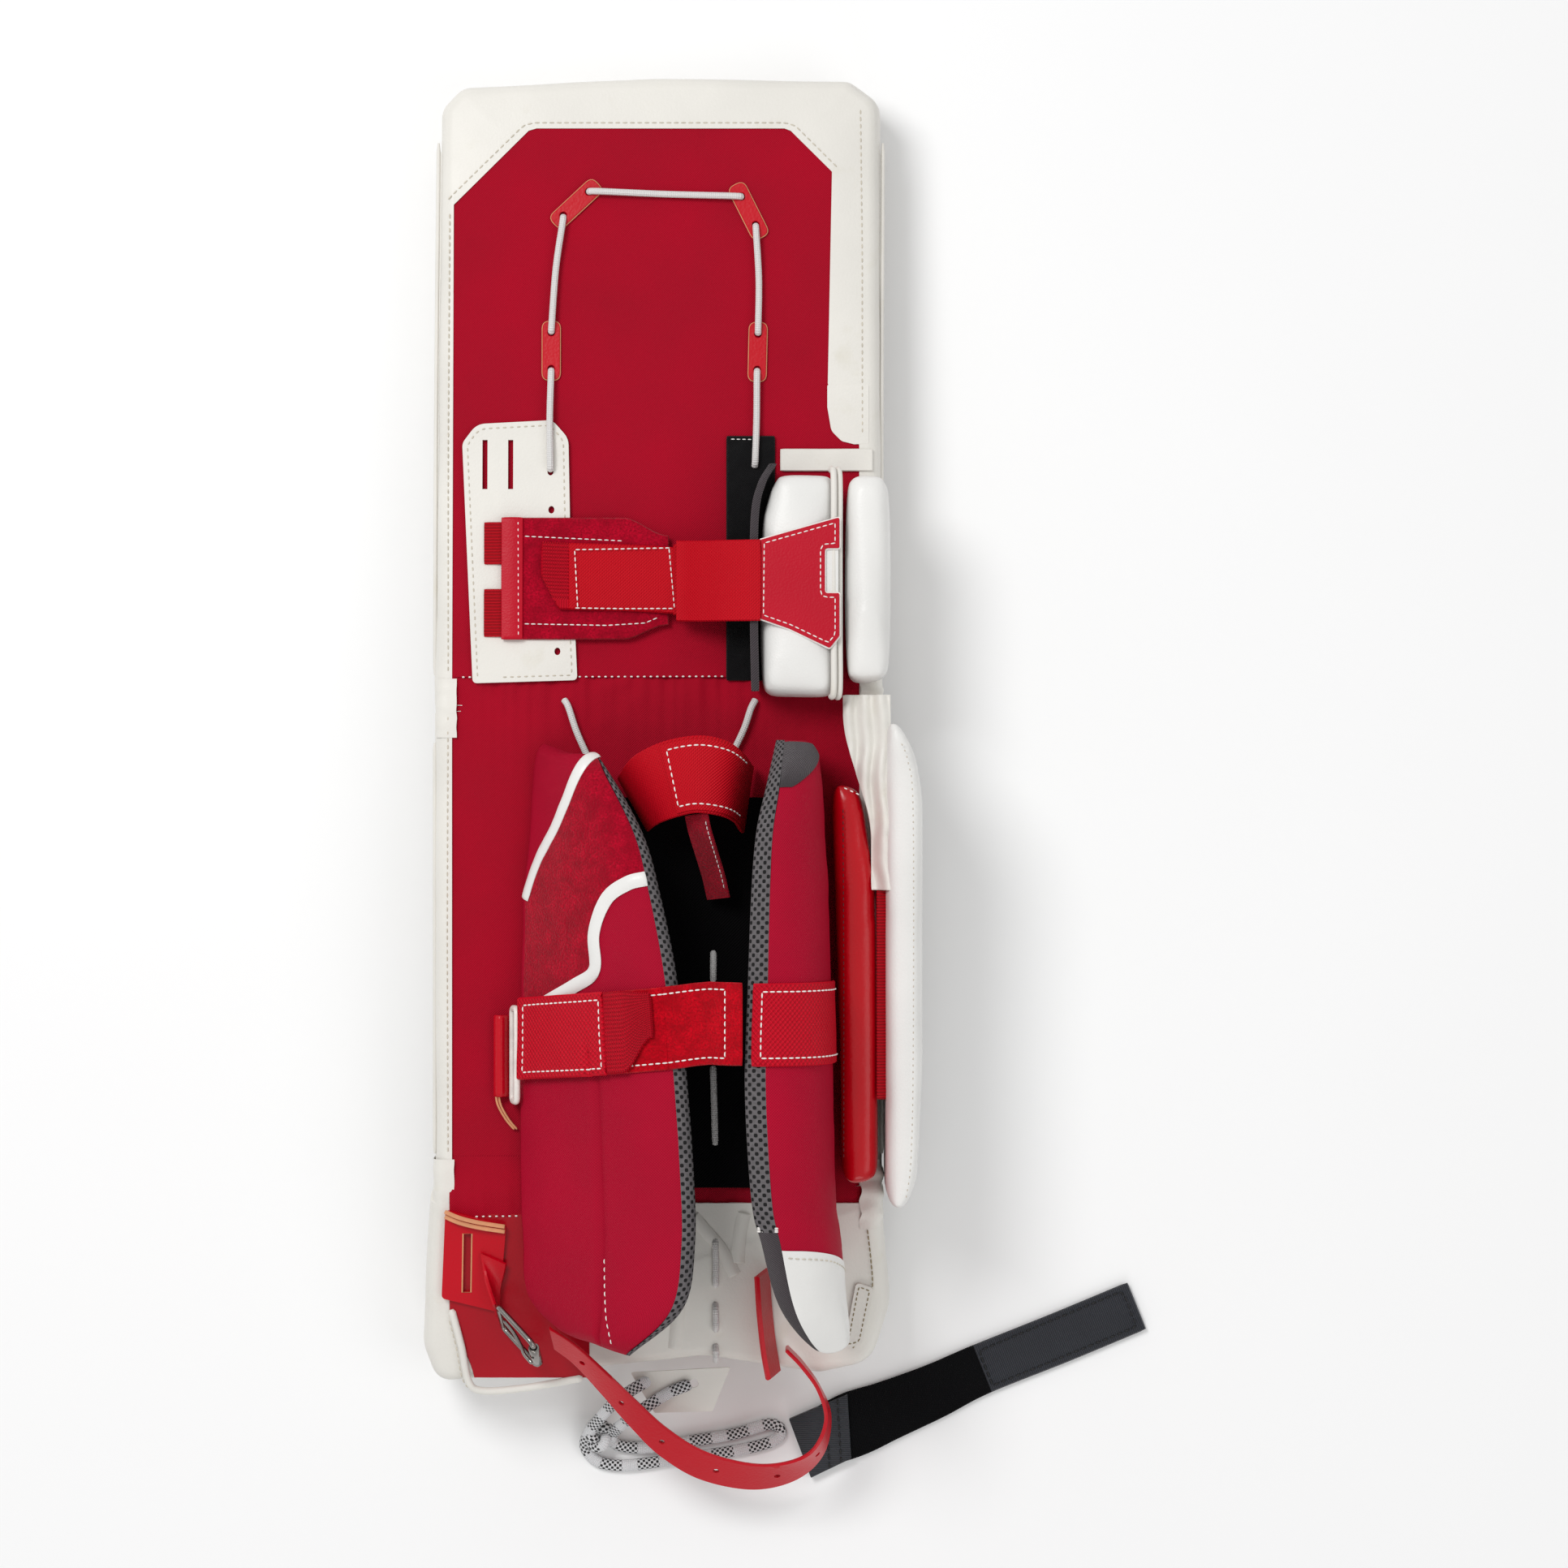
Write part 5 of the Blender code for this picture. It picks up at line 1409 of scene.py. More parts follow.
def wing(side, middle_of, outward, crease=None, mesh_end=1.0):
    """A wing's cover, spacer mesh edge and lining, as three sewn pieces."""
    body = f"{side}_wing"
    cover_shares = np.linspace(0.0, MESH_SHARE, 12)
    centre = refine(middle_of(cover_shares), WING_ROWS, 60)
    normal = grid_normals(centre) * outward
    s = np.linspace(0, 1, WING_ROWS)[:, None]
    u = np.linspace(0, 1, 60)[None, :]
    swell = 1.9 * np.sin(np.pi * u) ** 0.5 * np.ones_like(s)
    if crease:
        swell = swell - crease(s, u)
    ripple = np.array([[0.55 * wobble(p[0], p[1], p[2], 26, outward)
                        + 0.25 * wobble(p[0], p[1], p[2], 9, outward) for p in row]
                       for row in centre])
    taper = end_taper(WING_ROWS)
    thick = (WING_HALF + swell + ripple) * taper
    outer = centre + normal * thick[..., None]
    cover = Surface(outer, outward)
    fabric = open_sheet(f"{side}_wing_fabric", outer, body, "nylon_wing",
                        replaces=[f"{side}_wing_cover", f"{side}_wing_foam"])
    # The spacer mesh turns from the cover round the free edge to the lining
    edge_shares = np.array([0.925, 0.95, 0.975, 0.992, 1.0, 0.992, 0.965, 0.93, 0.9])
    offsets = np.array([5.3, 4.9, 3.8, 2.0, 0.0, -2.0, -3.9, -4.9, -5.0])
    edge_centre = refine(middle_of(edge_shares), WING_ROWS, len(edge_shares))
    plain_centre = refine(middle_of(np.linspace(0.9, 1.0, 9)), WING_ROWS, 9)
    edge_normal = grid_normals(plain_centre)[:, 4:5] * outward
    edge = edge_centre + edge_normal * (offsets[None, :] * taper)[..., None]
    edge = refine(edge, WING_ROWS, 25)
    last = int(mesh_end * (WING_ROWS - 1)) + 1
    open_sheet(f"{side}_wing_mesh", edge[:last], body, "spacer_mesh")
    if last < WING_ROWS:
        open_sheet(f"{side}_wing_edge", edge[last - 1:], body, "lining")
    inner_centre = refine(middle_of(np.linspace(0.9, 0.0, 10)), WING_ROWS, 30)
    inner_normal = grid_normals(inner_centre) * -outward
    inner = inner_centre - inner_normal * (4.9 * taper)[..., None]
    open_sheet(f"{side}_wing_inside", inner, body, "lining",
               replaces=[f"{side}_wing_lining"])
    # A skirt closes the root down to the pad
    root = outer[:int(SKIRT_END[side] * WING_ROWS), 0]
    down = np.array([0.0, 0.0, -1.0])
    deep = np.maximum(root[:, 2] - (SKIN_Z + 2.4), 0)[:, None]
    lean = np.array([outward_x(side) * 1.0, 0.0, 0.0])
    skirt = np.stack([root + down * deep * k + lean * k for k in np.linspace(0, 1, 5)], axis=1)
    open_sheet(f"{side}_wing_root", skirt, body, "nylon_wing")
    return cover


def outward_x(side):
    return -1.0 if side == "left" else 1.0


def left_crease(s, u):
    return 2.6 * np.exp(-((u - 0.52) / 0.022) ** 2) * smoothstep(s, 0.5, 0.58)


left_cover = wing("left", left_wing_middle, -1.0, left_crease)
CAP_START = 0.67
right_cover = wing("right", right_wing_middle, 1.0, mesh_end=CAP_START)

# Left wing: the brushed patch between its two pipings
PIPING_1 = [(0.035, 0.97), (0.09, 0.74), (0.19, 0.34), (0.26, 0.14), (0.345, 0.02)]
PIPING_2 = [(0.315, 1.0), (0.322, 0.86), (0.345, 0.69), (0.39, 0.57), (0.435, 0.545),
            (0.455, 0.40), (0.482, 0.14), (0.495, 0.03)]


def crossing(piping, u):
    """Where along the wing a piping lies, at a share u across it."""
    path = sorted((across, along) for along, across in piping)
    return np.interp(u, [a for a, _ in path], [b for _, b in path])


patch_grid = []
for share in np.linspace(0, 1, 60):
    row = []
    for u in np.linspace(0.02, 0.985, 50):
        top, bottom = crossing(PIPING_1, u), crossing(PIPING_2, u)
        row.append(left_cover.at(top + (bottom - top) * share, u, 0.45)[0])
    patch_grid.append(row)
open_sheet("left_wing_brushed", np.array(patch_grid), "left_wing", "brushed")
for number, (places, width) in enumerate(((PIPING_1, 7.6), (PIPING_2, 8.8)), 1):
    line, facing = left_cover.line(places, 90, 0.7)
    ribbon(f"left_wing_piping_{number}", line, facing, width, "left_wing", "white_block", 1.1)
crease_places = [(0.80, 0.53), (0.87, 0.56), (0.93, 0.60), (0.985, 0.72)]
line, facing = left_cover.line(crease_places, 60, 0.2)
stitches("left_wing_stitches", [(line, facing)], "left_wing", pitch=4.6, long=3.0, thick=0.45)

# Right wing: the white toe cap, its seam, and the mesh strip's end
def cap_top(u):
    return 0.765 - 0.055 * smoothstep(u, 0.1, 1.0)


cap_grid = []
for share in np.linspace(0, 1, 40):
    row = []
    for u in np.linspace(0.0, 1.0, 50):
        top = cap_top(u)
        row.append(right_cover.at(top + (1.0 - top) * share, u, 0.6)[0])
    cap_grid.append(row)
open_sheet("right_wing_toe_cap", np.array(cap_grid), "right_wing", "white_block")
cap_places = [(cap_top(u) + 0.012, u) for u in (0.98, 0.75, 0.5, 0.25)]
line, facing = right_cover.line(cap_places, 60, 0.8)
stitches("right_wing_cap_stitches", [(line, facing)], "right_wing", "thread_cream", pitch=4.2)
line, facing = right_cover.line([(0.74, 0.30), (0.86, 0.34), (0.985, 0.42)], 50, 0.9)
ribbon("right_wing_cap_seam", line, facing, 2.0, "right_wing", "white_block", 0.5)
bar = right_wing_middle([0.93, 1.0])
bar_ends = [through(bar[:, k], 200)[int(CAP_START * 199)] for k in (0, 1)]
bar_line = np.array([bar_ends[0] + [2.0, 0, 5.6], bar_ends[1] + [-0.5, 0, 1.6]])
stitches("right_wing_bar", [(bar_line + [0, shift, 0], UP) for shift in (0.0, 1.1, 2.2)],
         "right_wing", pitch=2.6, long=2.6, thick=0.5)
peak = []
for share in np.linspace(0, 1, 20):
    left = 0.42 + 0.5 * share
    peak.append([right_cover.at(0.012 + 0.10 * share, u, 0.5)[0]
                 for u in np.linspace(left, 1.0, 16)])
open_sheet("right_wing_lining_peak", np.array(peak), "right_wing", "lining")

# Calf strap: webbing on the right wing, a brushed base, a folded webbing flap with hook end
STRAP_Y = (-176.5, -190.0)
STRAP_HALF = 24.5
STRAP_THREAD = {"pitch": 4.2, "long": 3.3, "thick": 0.5}


def share_at(cover, y, u):
    """Where along a wing a given Y lies, at a share u across it."""
    low, high = 0.0, 1.0
    for _ in range(30):
        middle = (low + high) / 2
        if cover.at(middle, u)[0][1] > y:
            low = middle
        else:
            high = middle
    return low


def over_wing(cover, u, y_middle, top, bottom, lift, cols=11):
    row = []
    for share in np.linspace(0, 1, cols):
        y = y_middle + top - (top + bottom) * share
        row.append(cover.at(share_at(cover, y, u), u, lift)[0])
    return row


def strap_middle(u):
    return STRAP_Y[1] + (STRAP_Y[0] - STRAP_Y[1]) * 0.75 * u


base_rows = [over_wing(left_cover, u, strap_middle(u), STRAP_HALF, STRAP_HALF, 1.6)
             for u in np.linspace(0.05, 0.99, 40)]
bridge = [(33, 144), (42, 149.5), (49, 153.5), (55, 156.6)]
for x, z in bridge:
    base_rows.append([(x, STRAP_Y[0] + e, z) for e in np.linspace(STRAP_HALF, -STRAP_HALF, 11)])
base_grid = refine(np.array(base_rows), 80, 13)
strap("calf_strap_brushed", base_grid, "calf_strap", "brushed_strap", -1.1, 1.1,
      replaces=["calf_strap_base"])
base_surface = facing_up(base_grid, 40, 6)
edge_runs = []
for u in (0.075, 0.925):
    edge_runs.append(base_surface.line([(0.52, u), (0.75, u), (0.965, u)], 60, 1.3))
edge_runs.append(base_surface.line([(0.965, 0.075), (0.965, 0.5), (0.965, 0.925)], 40, 1.3))
stitches("calf_strap_stitches", edge_runs, "calf_strap", **STRAP_THREAD)

flap_rows = []
for u in np.linspace(0.04, 0.62, 44):
    flap_rows.append(over_wing(left_cover, u, strap_middle(u) + 0.5, 24.2, 25.0, 5.6))
flap_grid = np.array(flap_rows)
strap("calf_strap_flap", flap_grid, "calf_tab", "webbing_ball", -1.5, 1.5,
      replaces=["calf_strap_tab"])
flap_surface = facing_up(flap_grid, 20, 5)
box = [(0.07, 0.08), (0.97, 0.08), (0.97, 0.93), (0.07, 0.93), (0.07, 0.08)]
stitches("calf_flap_stitches", flap_surface.box(box, 1.6), "calf_tab", **STRAP_THREAD)
hook_rows = []
for u in np.linspace(0.63, 0.9, 26):
    narrow = smoothstep(u, 0.72, 0.9)
    hook_rows.append(over_wing(left_cover, u, strap_middle(u) + 0.5, 24.0 - 2.5 * narrow,
                               24.5 - 20.5 * narrow, 5.2))
strap("calf_strap_hook_end", np.array(hook_rows), "calf_tab", "webbing_wales", -1.4, 1.4)

anchor_rows = []
for u in np.linspace(0.985, 0.42, 44):
    anchor_rows.append(over_wing(right_cover, u, -177.0, 24.5, 24.5, 1.5))
anchor_grid = np.array(anchor_rows)
way = anchor_grid[0] - anchor_grid[3]
way /= np.linalg.norm(way, axis=1, keepdims=True)
over_mesh = [anchor_grid[0] + way * reach + np.array([0, 0, -drop])
             for reach, drop in ((10.5, 2.6), (7.5, 0.9), (4.0, 0.2))]
anchor_grid = refine(np.concatenate([over_mesh, anchor_grid]), 60, 13)
strap("calf_strap_anchor", anchor_grid, "right_wing", "webbing_ball", -1.1, 1.1)
anchor_surface = facing_up(anchor_grid, 4, 5)
box = [(0.97, 0.09), (0.035, 0.09), (0.035, 0.91), (0.97, 0.91)]
stitches("calf_anchor_stitches", anchor_surface.box(box, 1.3), "right_wing", **STRAP_THREAD)


# ---------------------------------------------------------------- ring and its leather tab
RING_LOWER = np.array([-89.0, -200.0, 58.0])
RING_UPPER = np.array([-85.5, -200.0, 70.0])
RING_HALF = 29.0
ring_way = RING_UPPER - RING_LOWER
ring_deep = np.linalg.norm(ring_way)
ring_way = ring_way / ring_deep


def framed_bar(name, corners, origin, along, across, radius, body, finish, replaces):
    """A round bar bent into a closed frame in the plane of two directions."""
    path = [origin + along * x + across * y for x, y in rounded(corners, 10, 8)]
    return tube(name, path, radius, body, finish, sides=16, closed=True, replaces=replaces)


ring_corners = [(0, -RING_HALF, 4), (ring_deep, -RING_HALF, 4), (ring_deep, RING_HALF, 4),
                (0, RING_HALF, 4)]
framed_bar("calf_ring", ring_corners, RING_LOWER, ring_way, np.array([0.0, 1.0, 0.0]), 2.0,
           "calf_strap", "plastic", ["calf_strap_ring"])
ring_rows = []
for y in np.linspace(-176, -226, 24):
    ring_rows.append([(-100 + 8 * t, y, SKIN_Z + 0.8 + 6.0 * math.sin(math.pi * (0.15 + 0.8 * t)))
                      for t in np.linspace(0, 1, 12)])
strap("ring_leather", np.array(ring_rows), "shin", "red_leather", -0.8, 0.8,
      replaces=["ring_tab"])
for shift in (0.0, 1.8):
    line = even(through([(-99.5 + shift, -224, 59), (-98 + shift, -232, 58),
                         (-93 + shift, -241, 57), (-88 + shift, -247, 56.4)], 40), 30)
    tube(f"ring_leather_edge_{int(shift)}", line, 0.7, "shin", "tan_edge", sides=6)


# ---------------------------------------------------------------- upper calf band
BAND_ROWS = [
    ((-22, -27, 59), (-4, -60, 59)), ((-21, -26, 84), (-3, -59, 84)),
    ((-12, -15, 104), (5, -54, 104)), ((6, -6, 117), (17, -50, 117)),
    ((28, -2, 121), (28, -48, 121)), ((45, -5, 117), (42, -50, 117)),
    ((55, -12, 104), (50, -54, 104)), ((60, -19, 84), (54, -60, 84)),
    ((61, -20, 59), (55, -61, 59)),
]
band_control = np.array([[np.array(a) + (np.array(b) - np.array(a)) * t
                          for t in np.linspace(0, 1, 5)] for a, b in BAND_ROWS], float)
band_grid = refine(band_control, 120, 15)
strap("calf_band", band_grid, "upper_band", "elastic", -1.1, 1.1,
      replaces=["upper_calf_band"])
band_surface = facing_up(band_grid, 60, 7)
overlay = np.array([[band_surface.at(s, u, 1.7)[0] for u in np.linspace(0.03, 0.97, 15)]
                    for s in np.linspace(0.37, 0.8, 50)])
strap("calf_band_overlay", overlay, "upper_band", "elastic", -0.5, 0.5)
band_runs = [band_surface.line(run, 60, 2.4) for run in (
    [(0.39, 0.11), (0.55, 0.11), (0.78, 0.11)], [(0.39, 0.89), (0.55, 0.89), (0.78, 0.89)],
    [(0.39, 0.11), (0.39, 0.5), (0.39, 0.89)])]
stitches("calf_band_stitches", band_runs, "upper_band", pitch=4.0, long=3.1, thick=0.48)
tail_line = through([(27, -50, 112), (29, -60, 104), (33, -74, 92), (37, -88, 80),
                     (40, -102, 70)], 50)
tail = strap_rows(tail_line, 9.0, (0.75, 0.1, 0.65), 9)
strap("calf_band_tail", tail, "upper_band", "brushed", -0.8, 0.8)
tail_surface = Surface(tail)
tail_runs = [tail_surface.line([(0.1, 0.1), (0.9, 0.1)], 40, lift) for lift in (1.0, -1.0)]
stitches("calf_band_tail_stitches", tail_runs, "upper_band", pitch=4.0, thick=0.38)


# ---------------------------------------------------------------- right side details
web = np.array([[(x, y, 96 + 0.9 * math.sin(math.pi * (x - 137) / 8))
                 for x in np.linspace(138.6, 144.2, 7)] for y in np.linspace(-89, -225, 80)])
strap("side_webbing", web, "shin", "webbing_ribs", -1.1, 1.1)
stitches("side_block_stitches", [
    (np.array([(117, -33, 100.6), (128, -38, 100.4)]), UP)], "shin", pitch=3.6, long=2.2)
stitches("side_block_seam", [
    (np.array([(117.2, -46, 100.3), (117.6, -150, 100.5), (117.6, -262, 100.3)]), UP)],
    "shin", "thread_red", pitch=3.6, long=2.4, thick=0.4)
calf_seam = [(155.5, -286, 118.5), (158.6, -262, 118.9), (160, -200, 119.2),
             (160, -50, 119.2), (157, -18, 118.9), (152.4, -5, 118.4)]
stitches("outer_calf_stitches", [(even(through(calf_seam, 120), 120), UP)], "shin",
         "thread_cream", pitch=4.0, long=1.4, thick=0.4)
FOLD_TOP, FOLD_END = 24.0, -96.0
fold_rows = []
for y in np.linspace(FOLD_TOP, FOLD_END, 90):
    down = (FOLD_TOP - y) / (FOLD_TOP - FOLD_END)
    left = 118 + 17 * smoothstep(down, 0.1, 0.75)
    row = []
    for share in np.linspace(0, 1, 34):
        x = left + (146.5 - left) * share
        z = 72 + 24 * smoothstep(down, 0, 0.35) + 14 * share
        fold = math.cos(x * 0.62 + 3.0 * wobble(x * 0.6, y, 0, 34))
        row.append((x, y, z + 2.2 * fold + 1.6 * wobble(x, y, 6, 9)))
    fold_rows.append(row)
strap("calf_folds", np.array(fold_rows), "shin", "white_leather", -0.6, 0.6)


# ---------------------------------------------------------------- boot
def boot_plate_z(x, y):
    return SHELL_Z + 0.5 + 0.5 * wobble(x, y, 1, 20)


red_panel = []
for share in np.linspace(0, 1, 30):
    y = BOOT_SEAM_Y + 1.5 - 106 * share
    left = -129 + 15 * smoothstep(y, -352, -400)
    row = []
    for k, x in enumerate(np.linspace(left, -42, 30)):
        dome = 0.9 * math.sin(math.pi * share) * math.sin(math.pi * k / 29)
        row.append((x, y, boot_plate_z(x, y) + dome))
    red_panel.append(row)
strap("boot_red_panel", np.array(red_panel), "boot", "boot_red", -0.5, 0.6)
flap_line = even(through([(-128, -352, 57), (-122, -376, 58.2), (-118, -398, 57.6),
                          (-110, -405, 56.8), (-84, -403.5, 56.6), (-46, -397, 56)], 80), 70)
tube("boot_flap_binding", flap_line, 2.4, "boot", "white_leather", sides=10)
stitches("boot_flap_stitches", [(flap_line[4:34] + np.array([-3.4, 0.5, 0.4]), UP)], "boot",
         "thread_cream", pitch=4.2)
CREASES = [
    [(24, -292, 55.2), (32, -302, 55.6), (41, -313, 55.6), (50, -330, 55.2)],
    [(56, -290, 55.2), (53, -304, 55.6), (52, -322, 55.2)],
    [(8, -330, 55.2), (14, -352, 55.6), (12, -378, 55.2)],
]
for number, route in enumerate(CREASES):
    crease = even(through(route, 40), 40)
    ribbon(f"boot_crease_{number}", crease, np.broadcast_to(np.array(UP), crease.shape), 8.0,
           "boot", "white_leather", 1.3)
BOOT_LACE_Z = SHELL_Z + 2.2
for number, (top, bottom) in enumerate(((-307, -337), (-349, -366), (-376, -386))):
    lace_run(f"boot_lace_cord_{number}", [
        (37.6, top, SHELL_Z - 1), (37.8, top - 3, BOOT_LACE_Z),
        (38, (top + bottom) / 2, BOOT_LACE_Z), (38, bottom + 3, BOOT_LACE_Z),
        (38, bottom, SHELL_Z - 1)], "boot",
        replaces=["boot_lace"] if number == 0 else ())
right_seam = [(133, -300, 56.6), (135.5, -322, 56.8), (136, -340, 56.8), (130, -362, 56.8),
              (124, -378, 56.4)]
stitches("boot_right_seam", [(even(through(right_seam, 60), 60), UP)], "boot", "thread_tan",
         pitch=3.8, thick=0.5)
loop_outline = [(118, -378, 3), (130, -374, 3), (137, -338, 3), (126, -334, 3)]
plate("boot_loop_tab", rounded(loop_outline), SHELL_Z + 0.4, SHELL_Z + 3.0, "boot",
      "white_leather", edge=1.0)
stitches("boot_loop_stitches", [flat_run(rounded(inset(loop_outline, 2.2), 4), SHELL_Z + 3.1,
                                         closed=True)], "boot", "thread_tan", pitch=3.4,
         long=2.4, thick=0.4)

ANCHOR_TOP = SKIN_Z + 3.4
LEFT_ANCHOR = [(-134, -344, 3), (-98, -353, 3), (-93, -297, 3), (-131, -287, 3)]
ANCHOR_SLOT = [(-121, -340), (-115.5, -340), (-114.5, -302), (-120, -302)]
plate("boot_anchor_left_leather", rounded(LEFT_ANCHOR), SHELL_Z + 0.9, ANCHOR_TOP + 1.6, "boot",
      "red_leather", [ANCHOR_SLOT], 0.9, replaces=["boot_anchor_left"])
tube("boot_anchor_slot_edge", [(x, y, ANCHOR_TOP + 1.5) for x, y in ANCHOR_SLOT], 0.5, "boot",
     "tan_edge", sides=6, closed=True)
for step, y_shift in enumerate((0.0, -3.2)):
    line = even(through([(-131, -287.5 + y_shift, 61.4), (-122, -291 + y_shift, 62.8),
                         (-110, -294 + y_shift, 63), (-94, -297 + y_shift, 61.6)], 40), 36)
    ribbon(f"boot_anchor_edge_{step}", line, np.broadcast_to(np.array([0, 0.5, 0.85]), line.shape),
           2.4, "boot", "tan_edge", 0.4)

RIGHT_ANCHOR_LINE = [(67, -326, 65.5), (68.5, -350, 66), (71, -374, 66), (74, -392, 65.5)]
right_line = through(RIGHT_ANCHOR_LINE, 40)
strap("boot_anchor_right_leather", strap_rows(right_line, 9.5, (0.35, 0, -1), 9), "boot",
      "red_leather", -1.8, 1.8, replaces=["boot_anchor_right"])


def boot_flat(points):
    """Places given with the pad at rest, in the boot's flat layout."""
    points = np.asarray(points, float)
    angle = math.radians(BOOT_TURN)
    back, up = points[..., 1] - BOOT_BREAK, points[..., 2] - SHIN_RISE
    turned = points.copy()
    turned[..., 1] = BOOT_BREAK + back * math.cos(angle) + up * math.sin(angle)
    turned[..., 2] = up * math.cos(angle) - back * math.sin(angle)
    return turned


CHAPE_LINE = [(-101, -318, 61.5), (-102, -330, 63), (-101.3, -340, 66), (-99.2, -349, 70.2)]
CHAPE_ACROSS = [(0.9, -0.4, -0.05), (0.6, -0.75, -0.3), (0.3, -0.75, -0.55),
                (0.086, -0.715, -0.694)]


def turning_strap(points, across, half, rows, cols=9):
    """A strap whose width turns along it; both lists run along the strap."""
    line = through(points, rows)
    wide = through(across, rows)
    wide = wide / np.linalg.norm(wide, axis=1, keepdims=True)
    return np.stack([line + wide * s for s in np.linspace(-half, half, cols)], axis=1)


strap("buckle_chape_leather", turning_strap(CHAPE_LINE, CHAPE_ACROSS, 8.0, 30), "boot",
      "red_leather", -1.2, 1.2, replaces=["buckle_chape"])

# Buckle, roller and prong
BUCKLE_ALONG = np.array([0.63, -0.50, 0.594])
BUCKLE_ALONG /= np.linalg.norm(BUCKLE_ALONG)
BUCKLE_ACROSS = np.array([0.086, -0.715, -0.694])
BUCKLE_ACROSS /= np.linalg.norm(BUCKLE_ACROSS)
BUCKLE_BAR = np.array([-96.3, -352.6, 72.0])
BUCKLE_LENGTH, BUCKLE_HALF = 36.0, 14.0
ROLLER_BAR = BUCKLE_BAR + BUCKLE_ALONG * BUCKLE_LENGTH
buckle_corners = [(0, -BUCKLE_HALF, 4), (BUCKLE_LENGTH, -BUCKLE_HALF, 4),
                  (BUCKLE_LENGTH, BUCKLE_HALF, 4), (0, BUCKLE_HALF, 4)]
framed_bar("buckle_bar", buckle_corners, BUCKLE_BAR, BUCKLE_ALONG, BUCKLE_ACROSS, 1.8,
           "buckle", "chrome", ["buckle_frame"])
ROLLER_REACH = BUCKLE_HALF - 4.8
roller_ends = [ROLLER_BAR + BUCKLE_ACROSS * reach for reach in (-ROLLER_REACH, ROLLER_REACH)]


def sleeve(name, start, end, inner, outer, body, finish, replaces, sides=32):
    axis = (end - start) / np.linalg.norm(end - start)
    side = np.array(Vector(axis).orthogonal().normalized())
    other = np.cross(axis, side)
    lip = axis * 0.4
    path = [(start, inner), (start, outer - 0.3), (start + lip, outer), (end - lip, outer),
            (end, outer - 0.3), (end, inner)]
    rings = []
    for centre, radius in path:
        angle = np.linspace(0, FULL_TURN, sides, endpoint=False)[:, None]
        rings.append(centre + (side * np.cos(angle) + other * np.sin(angle)) * radius)
    rings.append(rings[0])
    return loft(name, rings, body, finish, cap_low=False, cap_high=False, replaces=replaces,
                sharp=50)


sleeve("roller", roller_ends[0], roller_ends[1], 2.3, 3.5, "buckle_roller", "chrome",
       ["buckle_roller"])
buckle_up = np.cross(BUCKLE_ACROSS, BUCKLE_ALONG)
prong_route = [BUCKLE_BAR + BUCKLE_ALONG * a + buckle_up * b
               for a, b in ((3.2, 0), (14, 0.6), (25, 3), (31, 5), (39.5, 5.3))]
tube("prong", even(through(prong_route, 40), 30), 1.25, "buckle_prong", "chrome", sides=12,
     replaces=["buckle_prong"])

# Boot strap: one leather strap with punched holes
BOOT_STRAP = [
    ((-63.5, -376, 91), (0.09, -0.58, -0.81)), ((-50, -387, 82), (0.05, -0.62, -0.78)),
    ((-33, -405, 74), (0, -0.7, -0.71)), ((-14, -426, 66), (-0.1, -0.74, -0.66)),
    ((4.7, -445, 57), (-0.15, -0.75, -0.64)), ((29, -461, 48), (-0.1, -0.75, -0.65)),
    ((60, -469, 42), (0.05, -0.7, -0.71)), ((85, -465.5, 42), (0.25, -0.5, -0.82)),
    ((102, -453, 46), (0.25, -0.2, -0.94)), ((108.4, -431, 54), (0.1, 0, -1)),
    ((102.8, -411, 66), (0, 0, -1)), ((92.5, -395, 75), (0, 0, -1)),
    ((82.5, -384, 79), (0, 0, -1)),
]
strap_places, strap_directions = zip(*BOOT_STRAP)
strap_grid = boot_flat(turning_strap(strap_places, strap_directions, 12.5, 200))
boot_strap = strap("boot_strap_leather", strap_grid, "boot", "red_leather", -1.2, 1.2,
                   replaces=["boot_strap"])
strap_surface = Surface(strap_grid)
HOLE_PITCH = 33.0
middle_line = strap_grid[:, 4]
strap_length = lengths(middle_line)[-1]
hole_work = bmesh.new()
for number in range(1, int(strap_length / HOLE_PITCH)):
    share = number * HOLE_PITCH / strap_length
    spot, facing = strap_surface.at(share, 0.5)
    spot_world = PLACES["boot"] @ Vector(spot)
    turn = (PLACES["boot"].to_3x3() @ Vector(facing)).to_track_quat("Z", "Y")
    cut = bmesh.ops.create_cone(hole_work, cap_ends=True, segments=16, radius1=2.0 * MM,
                                radius2=2.0 * MM, depth=8.0 * MM)
    bmesh.ops.transform(hole_work, verts=cut["verts"],
                        matrix=Matrix.Translation(spot_world) @ turn.to_matrix().to_4x4())
hole_mesh = bpy.data.meshes.new("strap_holes")
hole_work.to_mesh(hole_mesh)
hole_work.free()
hole_cutter = bpy.data.objects.new("strap_holes", hole_mesh)
bpy.context.scene.collection.objects.link(hole_cutter)
punch = boot_strap.modifiers.new("holes", "BOOLEAN")
punch.operation = "DIFFERENCE"
punch.object = hole_cutter
punch.solver = "EXACT"
bpy.context.view_layer.objects.active = boot_strap
bpy.ops.object.modifier_apply(modifier=punch.name)
bpy.data.objects.remove(hole_cutter)


# ---------------------------------------------------------------- toe tab, lace and strap
TOE_TAB = [(-1, -428.4, 1.5), (35.7, -427.4, 1.5), (47, -398.5, 1), (-16, -402, 1)]
TOE_TAB_Z = 52.0
EYELET = (24.0, -409.0)
EYELET_RADIUS = 2.8


def sloped_tab(co):
    return Vector(boot_flat((co.x, co.y, co.z + 0.3 * (co.y + 399))))


